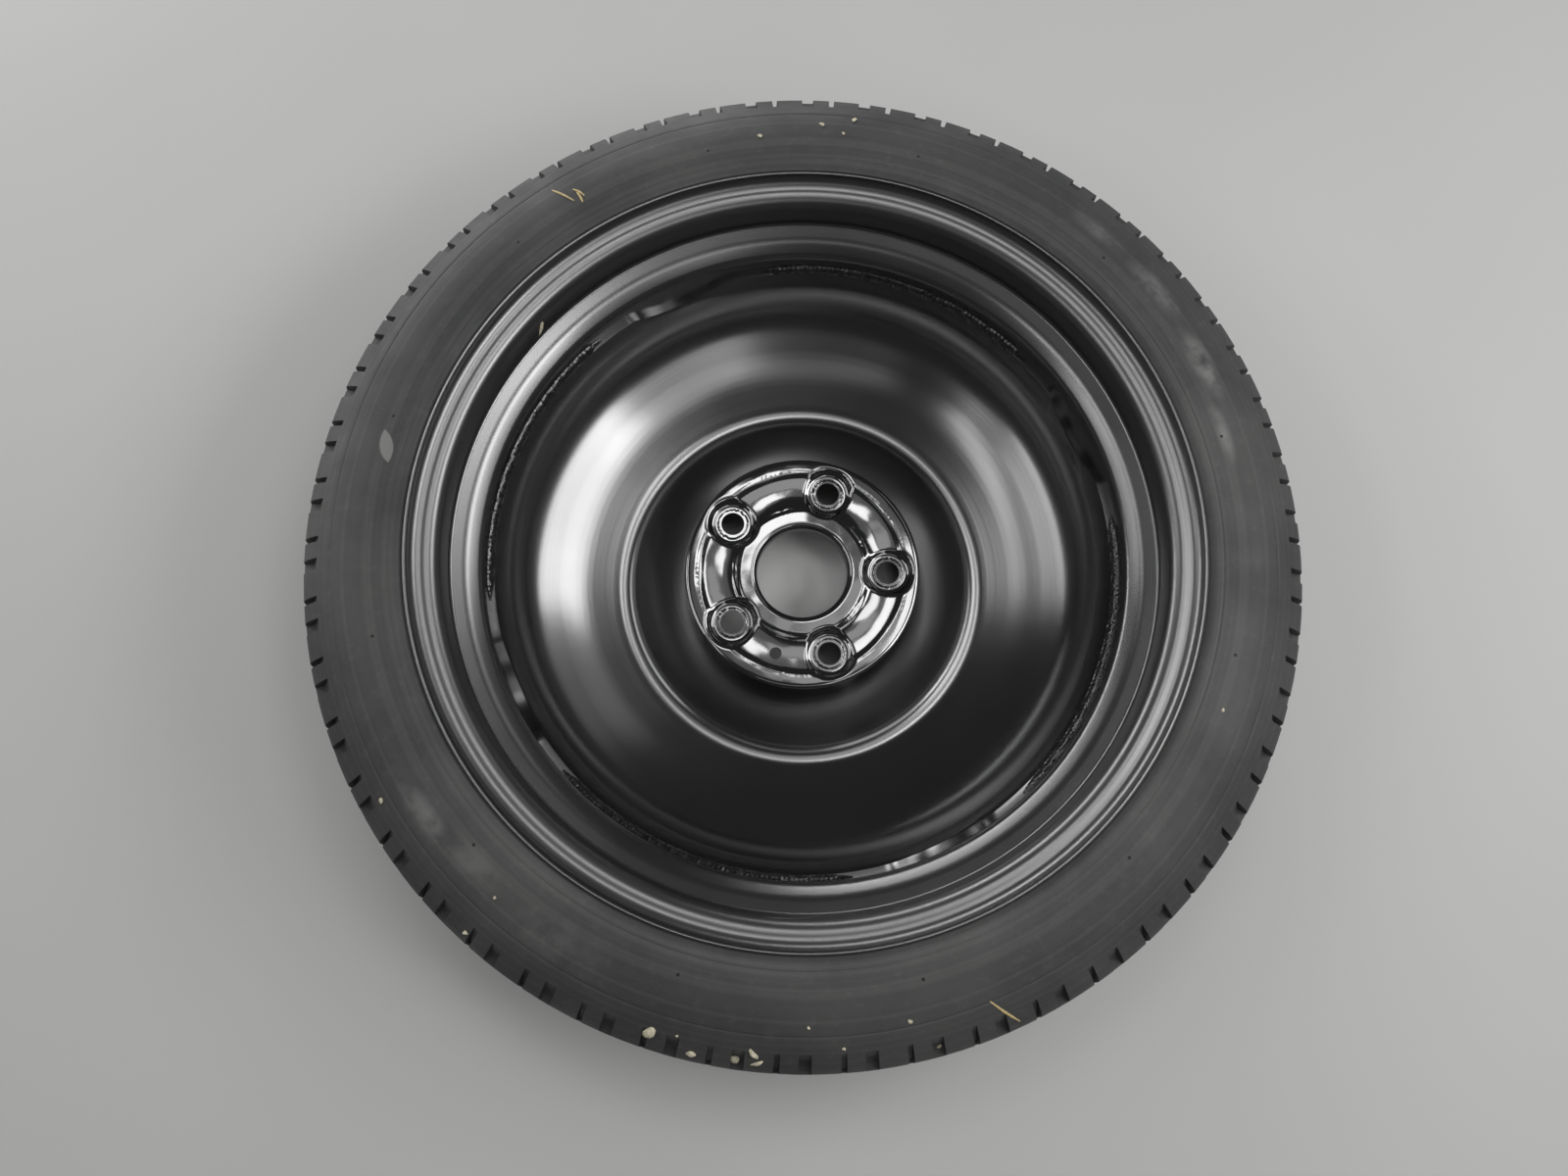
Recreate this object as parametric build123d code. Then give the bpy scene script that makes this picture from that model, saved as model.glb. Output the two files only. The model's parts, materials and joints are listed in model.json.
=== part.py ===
from build123d import *
import os
from math import atan2, cos, radians, sin, tan

# Space saver spare wheel, in millimetres.
# Z is the wheel's axis and the inboard face looks up. The origin is the centre of the
# plane that meets the car's hub, and the wheel lies on its outboard side.

# Rim, rolled from sheet
rim_gauge = 2.5
bead_seat_r = 218.3
rim_width = 101.6
wheel_offset = 37.0
flange_height = 16.7
flange_lip = 11.2
lip_drop = 1.5
flange_curl_r = 9.5
heel_r = 6.0
seat_taper = 5.0
seat_length = 16.5
seat_blend_r = 4.0
hump_rise = 1.1
hump_r = 5.5
well_r = 199.5
well_half_width = 17.0
well_slope = 59.0
well_corner_r = 6.0

# Disc, drawn from one sheet: edge flange, bowl, crown, pedestal and hub pad
disc_gauge = 3.2
disc_edge_z = 40.0
disc_corner_r = 25.0
bowl_top_r = 181.0
bowl_top_z = 0.0
bowl_knee_r = 152.0
bowl_knee_z = -20.0
bowl_knee_bend_r = 70.0
crown_r = 118.0
crown_z = -33.5
crown_bend_r = 14.0
pad_r = 76.5
pad_bend_r = 5.5
outer_land = 7.0
inner_land = 8.0
band_depth = 2.8
band_wall = 3.2
band_bend_r = 3.8
bore_r = 30.05
bore_depth = 9.9
bore_bend_r = 4.2

# Low valleys in the disc's edge, between the welded stretches
valley_count = 4
valley_angle = 25.0
valley_depth = 11.0
valley_arc = 19.0
weld_leg = 4.6
weld_bulge = 0.7
weld_arc = 56.0

# Holes in the hub pad
stud_count = 5
stud_pcd = 114.3
stud_hole_r = 7.7
stud_ring_r = 10.2
stud_ring_height = 1.0
stud_ring_taper = 0.8
stud_dish_r = 17.5
stud_dish_taper = 4.4
stud_dish_depth = 4.4
stud_seat_r = 9.0
stud_seat_angle = 60.0
locating_hole_r = 4.0

# Length of the cutters that pass right through a sheet
through = 30.0

# Tyre
tyre_r = 302.0
tread_half_width = 41.0
shoulder_edge_r = 297.0
shoulder_r = 14.0
section_width = 124.6
section_widest_r = 247.0
bead_exit_r = 237.0
bead_exit_inset = 1.6
bead_gap = 0.2
bead_width = 19.0
bead_height = 4.0
tread_thickness = 12.0
sidewall_thickness = 8.0
cavity_bend_r = 9.0
rib_r = 1.2
rib_height = 0.4
bead_rib_along = 0.53
outer_rib_along = 0.54
groove_width = 6.0
groove_depth = 4.5
groove_offset = 13.5
groove_draft = 0.8

# Shoulder notches: each pitch has a narrow open slot and a wide short pocket
notch_pitches = 50
notch_depth = 4.0
notch_foot_r = 285.5
notch_foot_reach = 9.0
slot_width = 3.2
slot_inner = 26.0
pocket_width = 7.2
pocket_inner = 34.0
pocket_depth = 10.4
pocket_lead = 0.42

# Valve, snapped into the outboard wall of the well
valve_angle = 270.0
valve_seat_r = 208.6
valve_hole_r = 5.75
valve_base_r = 8.0
valve_base_height = 4.5
valve_collar_r = 7.3
valve_collar_length = 4.0
valve_waist_r = 5.6
valve_waist_length = 9.0
valve_tip_r = 4.9
valve_rubber_length = 21.5
valve_edge_r = 0.8
stem_r = 3.85
stem_root_r = 3.2
stem_length = 31.8
stem_tail = 3.0
stem_edge = 0.5
chamber_r = 2.6
chamber_depth = 13.5
air_hole_r = 1.9
core_recess = 2.2
core_length = 10.5
plug_length = 4.2
barrel_r = 1.75
barrel_bore_r = 1.25
ledge_bore_r = 0.95
ledge_thickness = 0.6
bridge_width = 1.5
bridge_height = 1.2
gasket_length = 2.0
gasket_gap = 2.0
pin_r = 0.55
pin_clearance = 0.06
pin_recess = 0.3
pin_collar_r = 1.05
pin_collar_thickness = 0.5
spring_length = 4.8
spring_r = 0.9
spring_wire_r = 0.15
spring_turns = 5
seal_r = 1.4
seal_thickness = 0.8
cup_r = 1.6
cup_floor = 0.4
cap_r = 5.0
cap_cover = 9.5
cap_end = 1.4
cap_clearance = 0.06
cap_edge_r = 0.8
cap_flutes = 18
cap_flute_r = 0.55
cap_seal_thickness = 1.0
cap_seal_bore_r = 2.0


def spin(section, arc=360):
    """Revolve a section drawn as (radius, height) about the wheel's axis."""
    return revolve(Plane.XZ * section, Axis.Z, arc)


def sheet(corners, bends, gauge, side):
    """Section of a bent sheet whose one surface runs through the corners."""
    surface = FilletPolyline(*corners, radius=bends)
    return make_face(offset(surface, amount=gauge, side=side).edges())


def polar(radius, angle, height=0.0):
    """Point at a radius and angle about the wheel's axis."""
    return Vector(radius * cos(radians(angle)), radius * sin(radians(angle)), height)


# Rim section: the tyre-side surface from the inboard lip to the outboard lip
flange_face = rim_width / 2
flange_top_r = bead_seat_r + flange_height
seat_end = flange_face - seat_length
seat_end_r = bead_seat_r - seat_length * tan(radians(seat_taper))
hump_peak_r = seat_end_r + hump_rise
hump_peak = well_half_width + (hump_peak_r - well_r) / tan(radians(well_slope))


def rim_half(side):
    """Corners of the rim's tyre-side surface from a lip to the well, side is +1 inboard."""
    corners = [
        (flange_top_r - lip_drop, flange_face + flange_lip),
        (flange_top_r, flange_face),
        (bead_seat_r, flange_face),
        (seat_end_r, seat_end),
        (hump_peak_r, hump_peak),
        (well_r, well_half_width),
    ]
    return [(r, wheel_offset + side * u) for r, u in corners]


rim_corners = rim_half(1) + rim_half(-1)[::-1]
half_bends = [flange_curl_r, heel_r, seat_blend_r, hump_r, well_corner_r]
rim_bends = half_bends + half_bends[::-1]

# Valve seat: the outside of the well's outboard wall, with the stem square to it
wall_angle = radians(well_slope)
seat_reach = well_half_width + (valve_seat_r - well_r) / tan(wall_angle)
valve_mouth_r = valve_seat_r - rim_gauge * cos(wall_angle)
valve_mouth_z = wheel_offset - seat_reach - rim_gauge * sin(wall_angle)
valve_axis = polar(-cos(wall_angle), valve_angle, -sin(wall_angle))
valve_plane = Plane(
    origin=polar(valve_mouth_r, valve_angle, valve_mouth_z),
    x_dir=polar(1, valve_angle + 90),
    z_dir=valve_axis,
)


def make_rim():
    """Rolled rim with its valve hole."""
    rim = spin(sheet(rim_corners, rim_bends, rim_gauge, Side.RIGHT))
    hole = valve_plane * Pos(0, 0, -rim_gauge / 2) * Cylinder(valve_hole_r, through)
    return rim - hole


# Disc section: the inboard surface from the edge flange to the end of the bore
disc_outer_r = well_r - rim_gauge
disc_flange_r = disc_outer_r - disc_gauge
bowl_slope = atan2(bowl_top_z - bowl_knee_z, bowl_top_r - bowl_knee_r)
crown_slope = atan2(bowl_knee_z - crown_z, bowl_knee_r - crown_r)
pad_slope = atan2(-crown_z, crown_r - pad_r)
half_turn = (pad_slope + crown_slope) / 2
half_tilt = (pad_slope - crown_slope) / 2
crown_lift = crown_bend_r * (cos(half_tilt) / cos(half_turn) - 1)
band_outer_r = pad_r - outer_land
band_inner_r = bore_r + bore_bend_r + inner_land
locating_hole_angle = 360 - 1.5 * 360 / stud_count
valley_step = 360 / valley_count
valley_angles = [valley_angle + valley_step * k for k in range(valley_count)]


def make_disc():
    """Pressed disc with its dished stud holes."""
    corners = [
        (disc_flange_r, disc_edge_z),
        (disc_flange_r, bowl_top_z + (disc_flange_r - bowl_top_r) * tan(bowl_slope)),
        (bowl_knee_r, bowl_knee_z),
        (crown_r, crown_z - crown_lift),
        (pad_r, 0),
        (band_outer_r, 0),
        (band_outer_r - band_wall, -band_depth),
        (band_inner_r + band_wall, -band_depth),
        (band_inner_r, 0),
        (bore_r, 0),
        (bore_r, -bore_depth),
    ]
    bends = [disc_corner_r, bowl_knee_bend_r, crown_bend_r, pad_bend_r]
    bends += [band_bend_r] * 4 + [bore_bend_r]
    disc = spin(sheet(corners, bends, disc_gauge, Side.LEFT))

    # Each stud hole sits in a round dish, deeper than the band, that bites into both lands
    dish_floor_r = stud_dish_r - stud_dish_taper
    dish_slope = atan2(stud_dish_depth, stud_dish_taper)
    back_step = disc_gauge * tan(dish_slope / 2)
    back_z = -stud_dish_depth - disc_gauge
    seat_depth = (stud_seat_r - stud_hole_r) / tan(radians(stud_seat_angle / 2))
    studs = PolarLocations(stud_pcd / 2, stud_count)
    dish = Cone(dish_floor_r, stud_dish_r, stud_dish_depth)
    dishes = studs * (Pos(0, 0, -stud_dish_depth / 2) * dish)
    back = Cone(dish_floor_r + back_step, stud_dish_r + back_step, stud_dish_depth)
    backs = studs * (Pos(0, 0, back_z + stud_dish_depth / 2) * back)
    rings = studs * (
        Pos(0, 0, stud_ring_height / 2 - stud_dish_depth)
        * Cone(stud_ring_r, stud_ring_r - stud_ring_taper, stud_ring_height)
    )
    holes = studs * Cylinder(stud_hole_r, through)
    seats = studs * (Pos(0, 0, back_z + seat_depth / 2) * Cone(stud_seat_r, stud_hole_r, seat_depth))
    disc = disc + backs - dishes + rings - holes - seats

    # The locating hole lies between two stud holes, and the edge dips at each valley
    locating = Pos(polar(stud_pcd / 2, locating_hole_angle)) * Cylinder(locating_hole_r, through)
    half_chord = disc_outer_r * sin(radians(valley_arc / 2))
    valley_r = (half_chord**2 + valley_depth**2) / (2 * valley_depth)
    valley_centre = Pos(disc_outer_r, 0, disc_edge_z - valley_depth + valley_r)
    valley = valley_centre * Rot(0, 90, 0) * Cylinder(valley_r, through)
    valleys = [Rot(0, 0, angle) * valley for angle in valley_angles]
    return disc - locating - valleys


def make_welds():
    """Fillet welds between the disc's edge and the rim's well."""
    corner = (disc_outer_r, disc_edge_z)
    top = (disc_outer_r, disc_edge_z + weld_leg)
    foot = (disc_flange_r, disc_edge_z)
    lean = atan2(disc_gauge, weld_leg)
    middle = (
        (top[0] + foot[0]) / 2 - weld_bulge * cos(lean),
        (top[1] + foot[1]) / 2 + weld_bulge * sin(lean),
    )
    section = make_face([Line(corner, top), ThreePointArc(top, middle, foot), Line(foot, corner)])
    bead = Rot(0, 0, valley_step / 2 - weld_arc / 2) * spin(section, weld_arc)
    return Compound([Rot(0, 0, angle) * bead for angle in valley_angles])


def tyre_section():
    """Section of the tyre about its own centre plane, as (radius, distance)."""
    half_width = section_width / 2
    widest = (section_widest_r, half_width)
    exit_point = (bead_exit_r, half_width - bead_exit_inset)
    shoulder = (shoulder_edge_r, tread_half_width)
    under_lip = (flange_top_r - flange_curl_r / 2, flange_face + flange_curl_r / 2)
    bead_foot = (well_r, flange_face)
    side = [
        TangentArc(widest, shoulder, tangent=(1, 0)),
        TangentArc(widest, exit_point, tangent=(-1, 0)),
        Polyline(exit_point, under_lip, bead_foot),
    ]
    crown = ThreePointArc(shoulder, (tyre_r, 0), (shoulder_edge_r, -tread_half_width))
    foot = Line(bead_foot, (well_r, -flange_face))
    outer = make_face(side + [mirror(edge, Plane.XZ) for edge in side] + [crown, foot])
    outer = fillet(outer.vertices().group_by(Axis.X)[-1], shoulder_r)

    # Two fine ribs run round each sidewall
    for wall, along in ((side[0], outer_rib_along), (side[1], bead_rib_along)):
        inward = Vector(-wall.tangent_at(along).Y, wall.tangent_at(along).X)
        if inward.Y > 0:
            inward = -inward
        rib = Pos(wall @ along + inward * (rib_r - rib_height)) * Circle(rib_r)
        outer = outer + rib + mirror(rib, Plane.XZ)

    toe = flange_face - bead_width
    inner_half = half_width - sidewall_thickness
    half = [
        (well_r - rim_gauge, toe),
        (bead_seat_r + bead_height, toe),
        (section_widest_r - bead_height, inner_half),
        (shoulder_edge_r - tread_thickness - sidewall_thickness, inner_half - bead_height),
        (tyre_r - tread_thickness, tread_half_width - tread_thickness),
    ]
    loop = half + [(r, -u) for r, u in half[::-1]]
    inside = make_face(FilletPolyline(*loop, radius=cavity_bend_r, close=True))

    groove = Pos(tyre_r - groove_depth / 2, groove_offset) * Trapezoid(
        groove_width, 2 * groove_depth, 90 - groove_draft, rotation=90
    )
    return outer - inside - groove - mirror(groove, Plane.XZ)


def notch(profile, width):
    """Cutter of a shoulder notch from its (radius, distance) profile."""
    face = make_face(Polyline(*profile, close=True))
    return extrude(Plane.XZ * face, amount=width / 2, both=True)


def make_tyre():
    """Tyre on the rim, with notches round both shoulders."""
    centred = [(r, z - wheel_offset) for r, z in rim_corners]
    rim_side = FilletPolyline(*centred, radius=rim_bends)
    lip_r, lip_z = centred[0]
    inside_r = well_r / 2
    closing = Polyline((lip_r, lip_z), (inside_r, lip_z), (inside_r, -lip_z), (lip_r, -lip_z))
    under_rim = make_face(rim_side.edges() + closing.edges())
    skin = make_face(offset(rim_side, amount=bead_gap, side=Side.LEFT).edges())
    tyre = spin(tyre_section() - under_rim - skin)

    outside_r = tyre_r + notch_depth
    outside = section_width
    foot = (notch_foot_r, tread_half_width + notch_foot_reach)
    slot = notch(
        [
            (tyre_r - notch_depth, slot_inner),
            foot,
            (notch_foot_r, outside),
            (outside_r, outside),
            (outside_r, slot_inner),
        ],
        slot_width,
    )
    pocket = notch(
        [
            (tyre_r - notch_depth / 2, pocket_inner),
            (tyre_r - pocket_depth, pocket_inner + notch_depth),
            foot,
            (notch_foot_r, outside),
            (outside_r, outside),
            (outside_r, pocket_inner),
        ],
        pocket_width,
    )
    pitch = 360 / notch_pitches
    cutters = []
    for k in range(notch_pitches):
        for cutter, phase in ((slot, 0), (pocket, pocket_lead)):
            cutters.append(Rot(0, 0, pitch * (k + phase)) * cutter)
            flipped = mirror(cutter, Plane.XY)
            cutters.append(Rot(0, 0, pitch * (k + phase + 0.5)) * flipped)
    return Pos(0, 0, wheel_offset) * (tyre - cutters)


# Heights along the valve's stem, from the outside of the rim's wall
core_top = stem_length - core_recess
core_foot = core_top - core_length
spring_foot = core_foot + ledge_thickness
collar_foot = spring_foot + spring_length
seal_foot = core_foot - seal_thickness
cap_inside = stem_length + cap_seal_thickness


def turned(*points):
    """Piece turned about the valve's axis from a closed (radius, height) profile."""
    return revolve(Plane.XZ * make_face(Polyline(*points, close=True)), Axis.Z, 360)


def tube(outer, inner, low, high):
    """Plain ring about the valve's axis."""
    return turned((inner, low), (outer, low), (outer, high), (inner, high))


def make_valve_body():
    """Rubber body: base inside the rim, collar outside it and a tapering sleeve."""
    base_low = -rim_gauge - valve_base_height
    corners = [
        (stem_root_r, base_low),
        (valve_base_r, base_low),
        (valve_base_r, -rim_gauge),
        (valve_hole_r, -rim_gauge),
        (valve_hole_r, 0),
        (valve_collar_r, 0),
        (valve_collar_r, valve_collar_length),
        (valve_waist_r, valve_waist_length),
        (valve_tip_r, valve_rubber_length),
        (stem_root_r, valve_rubber_length),
    ]
    soft = valve_edge_r
    bends = [0, soft, soft, 0, 0, soft, soft, soft, soft, 0]
    section = make_face(FilletPolyline(*corners, radius=bends, close=True))
    return revolve(Plane.XZ * section, Axis.Z, 360)


def make_valve_stem():
    """Brass tube with a stepped bore, its threaded end outside the rubber."""
    tail = -rim_gauge - stem_tail
    chamber_foot = stem_length - chamber_depth
    return turned(
        (air_hole_r, tail),
        (stem_root_r, tail),
        (stem_root_r, valve_rubber_length),
        (stem_r, valve_rubber_length),
        (stem_r, stem_length - stem_edge),
        (stem_r - stem_edge, stem_length),
        (chamber_r, stem_length),
        (chamber_r, chamber_foot + chamber_r - air_hole_r),
        (air_hole_r, chamber_foot),
    )


def make_core_body():
    """Brass core: threaded plug, barrel with a spring ledge, and a bridge that guides the pin."""
    plug_foot = core_top - plug_length
    shell = turned(
        (ledge_bore_r, core_foot),
        (barrel_r, core_foot),
        (barrel_r, plug_foot),
        (chamber_r, plug_foot),
        (chamber_r, core_top),
        (barrel_bore_r, core_top),
        (barrel_bore_r, spring_foot),
        (ledge_bore_r, spring_foot),
    )
    bridge = Pos(0, 0, core_top - bridge_height / 2) * Box(
        2 * barrel_r, bridge_width, bridge_height
    )
    guide = Pos(0, 0, core_top) * Cylinder(pin_r + pin_clearance, 3 * bridge_height)
    return shell + bridge - guide


def make_core_gasket():
    """Sealing ring between the core's barrel and the stem."""
    high = core_top - plug_length - gasket_gap
    return tube(chamber_r, barrel_r, high - gasket_length, high)


def make_core_pin():
    """Pin with the collar that the spring pushes and the cup that holds the seal."""
    cup_low = seal_foot - cup_floor
    return turned(
        (0, cup_low),
        (cup_r, cup_low),
        (cup_r, core_foot - seal_thickness / 2),
        (seal_r, core_foot - seal_thickness / 2),
        (seal_r, seal_foot),
        (pin_r, seal_foot),
        (pin_r, collar_foot),
        (pin_collar_r, collar_foot),
        (pin_collar_r, collar_foot + pin_collar_thickness),
        (pin_r, collar_foot + pin_collar_thickness),
        (pin_r, stem_length - pin_recess),
        (0, stem_length - pin_recess),
    )


def make_core_spring():
    """Round-wire coil between the barrel's ledge and the pin's collar."""
    height = spring_length - 2 * spring_wire_r
    coil = Helix(pitch=height / spring_turns, height=height, radius=spring_r)
    wire = Plane(origin=coil @ 0, z_dir=coil % 0) * Circle(spring_wire_r)
    return Pos(0, 0, spring_foot + spring_wire_r) * sweep(wire, path=coil, is_frenet=True)


def make_cap():
    """Fluted screw cap over the end of the stem."""
    cap_bore_r = stem_r + cap_clearance
    high = cap_inside + cap_end
    low = cap_inside - cap_cover
    cap = tube(cap_r, cap_bore_r, low, high) + tube(cap_bore_r, 0, cap_inside, high)
    cap = fillet(cap.edges().filter_by(GeomType.CIRCLE).group_by(Axis.Z)[-1], cap_edge_r)
    flute = Pos(0, 0, (low + high) / 2) * Cylinder(cap_flute_r, high - low)
    flutes = PolarLocations(cap_r, cap_flutes) * flute
    return cap - flutes


parts = {
    "tyre": make_tyre(),
    "rim": make_rim(),
    "wheel_disc": make_disc(),
    "weld_beads": make_welds(),
    "valve_body": valve_plane * make_valve_body(),
    "valve_stem": valve_plane * make_valve_stem(),
    "valve_core_body": valve_plane * make_core_body(),
    "valve_core_gasket": valve_plane * make_core_gasket(),
    "valve_core_pin": valve_plane * make_core_pin(),
    "valve_core_seal": valve_plane * tube(seal_r, pin_r, seal_foot, core_foot),
    "valve_core_spring": valve_plane * make_core_spring(),
    "valve_cap": valve_plane * make_cap(),
    "valve_cap_seal": valve_plane * tube(stem_r, cap_seal_bore_r, stem_length, cap_inside),
}

os.makedirs("parts", exist_ok=True)
for name, part in parts.items():
    export_step(part, f"parts/{name}.step")
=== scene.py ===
"""Finished surfaces of a space saver spare wheel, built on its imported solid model.

The file is laid out as an add-on and is run as a script. Lengths are in metres, in the solid model's
frame: Z is the wheel's axis, the inboard face looks up and the origin is the centre of the hub face.
"""

import json
from math import atan2, ceil, cos, pi, radians, sin, sqrt, tan

import bmesh
import bpy
import numpy as np
from bpy.props import FloatProperty, FloatVectorProperty, IntProperty, PointerProperty
from mathutils import Matrix, Vector


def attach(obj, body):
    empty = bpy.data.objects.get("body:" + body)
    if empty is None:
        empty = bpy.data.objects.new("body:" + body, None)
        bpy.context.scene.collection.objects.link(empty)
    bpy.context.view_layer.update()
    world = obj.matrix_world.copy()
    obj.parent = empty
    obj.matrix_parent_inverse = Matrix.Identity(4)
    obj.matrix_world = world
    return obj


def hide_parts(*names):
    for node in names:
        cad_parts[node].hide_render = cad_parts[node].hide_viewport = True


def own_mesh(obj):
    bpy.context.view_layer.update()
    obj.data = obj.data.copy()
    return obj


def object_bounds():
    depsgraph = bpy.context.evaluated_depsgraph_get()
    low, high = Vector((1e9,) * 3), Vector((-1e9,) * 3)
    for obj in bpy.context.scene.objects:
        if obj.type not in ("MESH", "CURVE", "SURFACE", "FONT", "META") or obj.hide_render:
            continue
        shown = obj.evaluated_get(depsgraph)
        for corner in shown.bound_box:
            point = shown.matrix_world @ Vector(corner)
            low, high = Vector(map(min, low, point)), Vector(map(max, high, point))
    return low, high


bl_info = {
    "name": "Space Saver Spare Wheel",
    "version": (1, 0, 0),
    "blender": (4, 5, 0),
    "location": "3D View > Sidebar > Spare Wheel",
    "description": "Builds the finished surfaces of a space saver spare wheel on its solid model",
    "category": "Object",
}

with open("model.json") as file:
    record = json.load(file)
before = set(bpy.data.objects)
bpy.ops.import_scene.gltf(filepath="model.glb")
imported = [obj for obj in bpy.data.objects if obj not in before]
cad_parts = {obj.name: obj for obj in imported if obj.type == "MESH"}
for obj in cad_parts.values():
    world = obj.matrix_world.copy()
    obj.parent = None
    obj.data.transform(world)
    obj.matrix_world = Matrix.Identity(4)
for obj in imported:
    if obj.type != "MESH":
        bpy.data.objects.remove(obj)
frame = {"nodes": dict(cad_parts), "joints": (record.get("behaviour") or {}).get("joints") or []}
CAD_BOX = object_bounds()
NODES = frame["nodes"]
JOINTS = {joint["name"]: joint for joint in frame["joints"]}

WHEEL_BODY = "wheel"

# Vertices closer than this are one vertex
MERGE_DISTANCE = 2e-6
# Faces that meet at more than this angle keep a sharp edge
SHARP_ANGLE = radians(38)
# Angle between sample points on a rounded corner
ARC_STEP = radians(10)


def distance(name, description, default):
    """A length that a user can change, in metres."""
    look = {"subtype": "DISTANCE", "unit": "LENGTH", "precision": 5}
    return FloatProperty(name=name, description=description, default=default, min=0, **look)


def tint(name, description, default):
    """A colour that a user can change."""
    look = {"subtype": "COLOR", "size": 3, "max": 1}
    return FloatVectorProperty(name=name, description=description, default=default, min=0, **look)


def whole(name, description, default, least):
    """A number of like things that a user can change."""
    return IntProperty(name=name, description=description, default=default, min=least)


def level(name, description, default):
    """A brightness that a user can change."""
    return FloatProperty(name=name, description=description, default=default, min=0)


def triple(name, description, default):
    """A place or a direction that a user can change."""
    return FloatVectorProperty(name=name, description=description, default=default, subtype="XYZ")


class RimSizes(bpy.types.PropertyGroup):
    """Sizes of the rolled rim."""

    gauge: distance("Gauge", "Thickness of the rim's sheet", 0.0025)
    width: distance("Width", "Distance between the flanges' inner faces", 0.1016)
    offset: distance("Offset", "Height of the rim's centre plane above the hub face", 0.037)
    seat_radius: distance("Seat radius", "Radius of the bead seat at the flange", 0.2183)
    seat_length: distance("Seat length", "Length of the tapered bead seat", 0.0165)
    flange_height: distance("Flange height", "Height of the flange above the bead seat", 0.0167)
    flange_lip: distance("Flange lip", "Reach of the curled lip beyond the flange's face", 0.0112)
    well_radius: distance("Well radius", "Radius of the drop well on the tyre's side", 0.1995)
    well_half_width: distance("Well half width", "Half of the drop well's width", 0.017)


class DiscSizes(bpy.types.PropertyGroup):
    """Sizes of the pressed disc."""

    gauge: distance("Gauge", "Thickness of the disc's sheet", 0.0032)
    edge_height: distance("Edge height", "Height of the disc's welded edge above the hub face", 0.040)
    crown_radius: distance("Crown radius", "Radius of the ring that lies lowest", 0.118)
    crown_depth: distance("Crown depth", "Depth of that ring's upper side below the hub face", 0.0335)
    pad_radius: distance("Pad radius", "Radius of the hub pad's outer corner", 0.0765)
    band_depth: distance("Band depth", "Depth of the band between the pad's two lands", 0.0028)
    dish_radius: distance("Dish radius", "Radius of the dish round a stud hole", 0.0175)
    dish_depth: distance("Dish depth", "Depth of the dish round a stud hole", 0.0044)
    stud_circle: distance("Stud circle", "Diameter of the circle through the stud holes", 0.1143)
    stud_hole: distance("Stud hole", "Radius of a stud hole", 0.0077)
    bore: distance("Bore", "Radius of the centre bore", 0.03005)
    valley_depth: distance("Valley depth", "Depth of the low stretches in the disc's edge", 0.011)


class TyreSizes(bpy.types.PropertyGroup):
    """Sizes of the tyre."""

    crown_radius: distance("Crown radius", "Radius at the middle of the tread", 0.3019)
    shoulder_radius: distance("Shoulder radius", "Radius of the tread's edge before rounding", 0.297)
    shoulder_round: distance("Shoulder rounding", "Rounding of the tread's edge", 0.014)
    tread_half_width: distance("Tread half width", "Half of the tread's width", 0.041)
    section_width: distance("Section width", "Width over the two sidewalls", 0.1246)
    widest_radius: distance("Widest radius", "Radius where the tyre is widest", 0.247)
    groove_width: distance("Groove width", "Width of a groove round the tread", 0.006)
    groove_depth: distance("Groove depth", "Depth of a groove round the tread", 0.0045)
    groove_offset: distance("Groove offset", "Distance of a groove from the tread's middle", 0.0135)
    slot_width: distance("Slot width", "Width of the narrow shoulder slot", 0.0032)
    pocket_width: distance("Pocket width", "Width of the broad shoulder pocket", 0.0072)
    rib_height: distance("Rib height", "Height of the ribs round the sidewall", 0.0004)
    pitches: whole("Pitches", "Number of notch pitches round a shoulder", 50, 8)


class ValveSizes(bpy.types.PropertyGroup):
    """Sizes of the valve's stem and spring, with heights along the stem from the rim's wall."""

    stem_radius: distance("Stem radius", "Radius over the stem's thread", 0.00385)
    stem_root: distance("Stem root", "Radius of the stem inside the rubber", 0.0032)
    stem_length: distance("Stem length", "Height of the stem's open end", 0.0318)
    stem_tail: distance("Stem tail", "Depth of the stem's inner end", 0.0055)
    rubber_length: distance("Rubber length", "Height of the rubber's end", 0.0215)
    chamber_radius: distance("Chamber radius", "Radius of the bore that holds the core", 0.0026)
    chamber_depth: distance("Chamber depth", "Depth of the bore that holds the core", 0.0135)
    air_hole: distance("Air hole", "Radius of the bore below the core", 0.0019)
    thread_pitch: distance("Thread pitch", "Rise of the thread in one turn", 0.000794)
    thread_depth: distance("Thread depth", "Depth of the thread", 0.00045)
    spring_radius: distance("Spring radius", "Radius of the spring's coil", 0.0009)
    spring_wire: distance("Spring wire", "Radius of the spring's wire", 0.00015)
    spring_foot: distance("Spring foot", "Height of the ledge under the spring", 0.0197)
    spring_length: distance("Spring length", "Length of the spring at rest", 0.0048)
    spring_turns: whole("Spring turns", "Number of turns of the spring", 5, 1)


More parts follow.
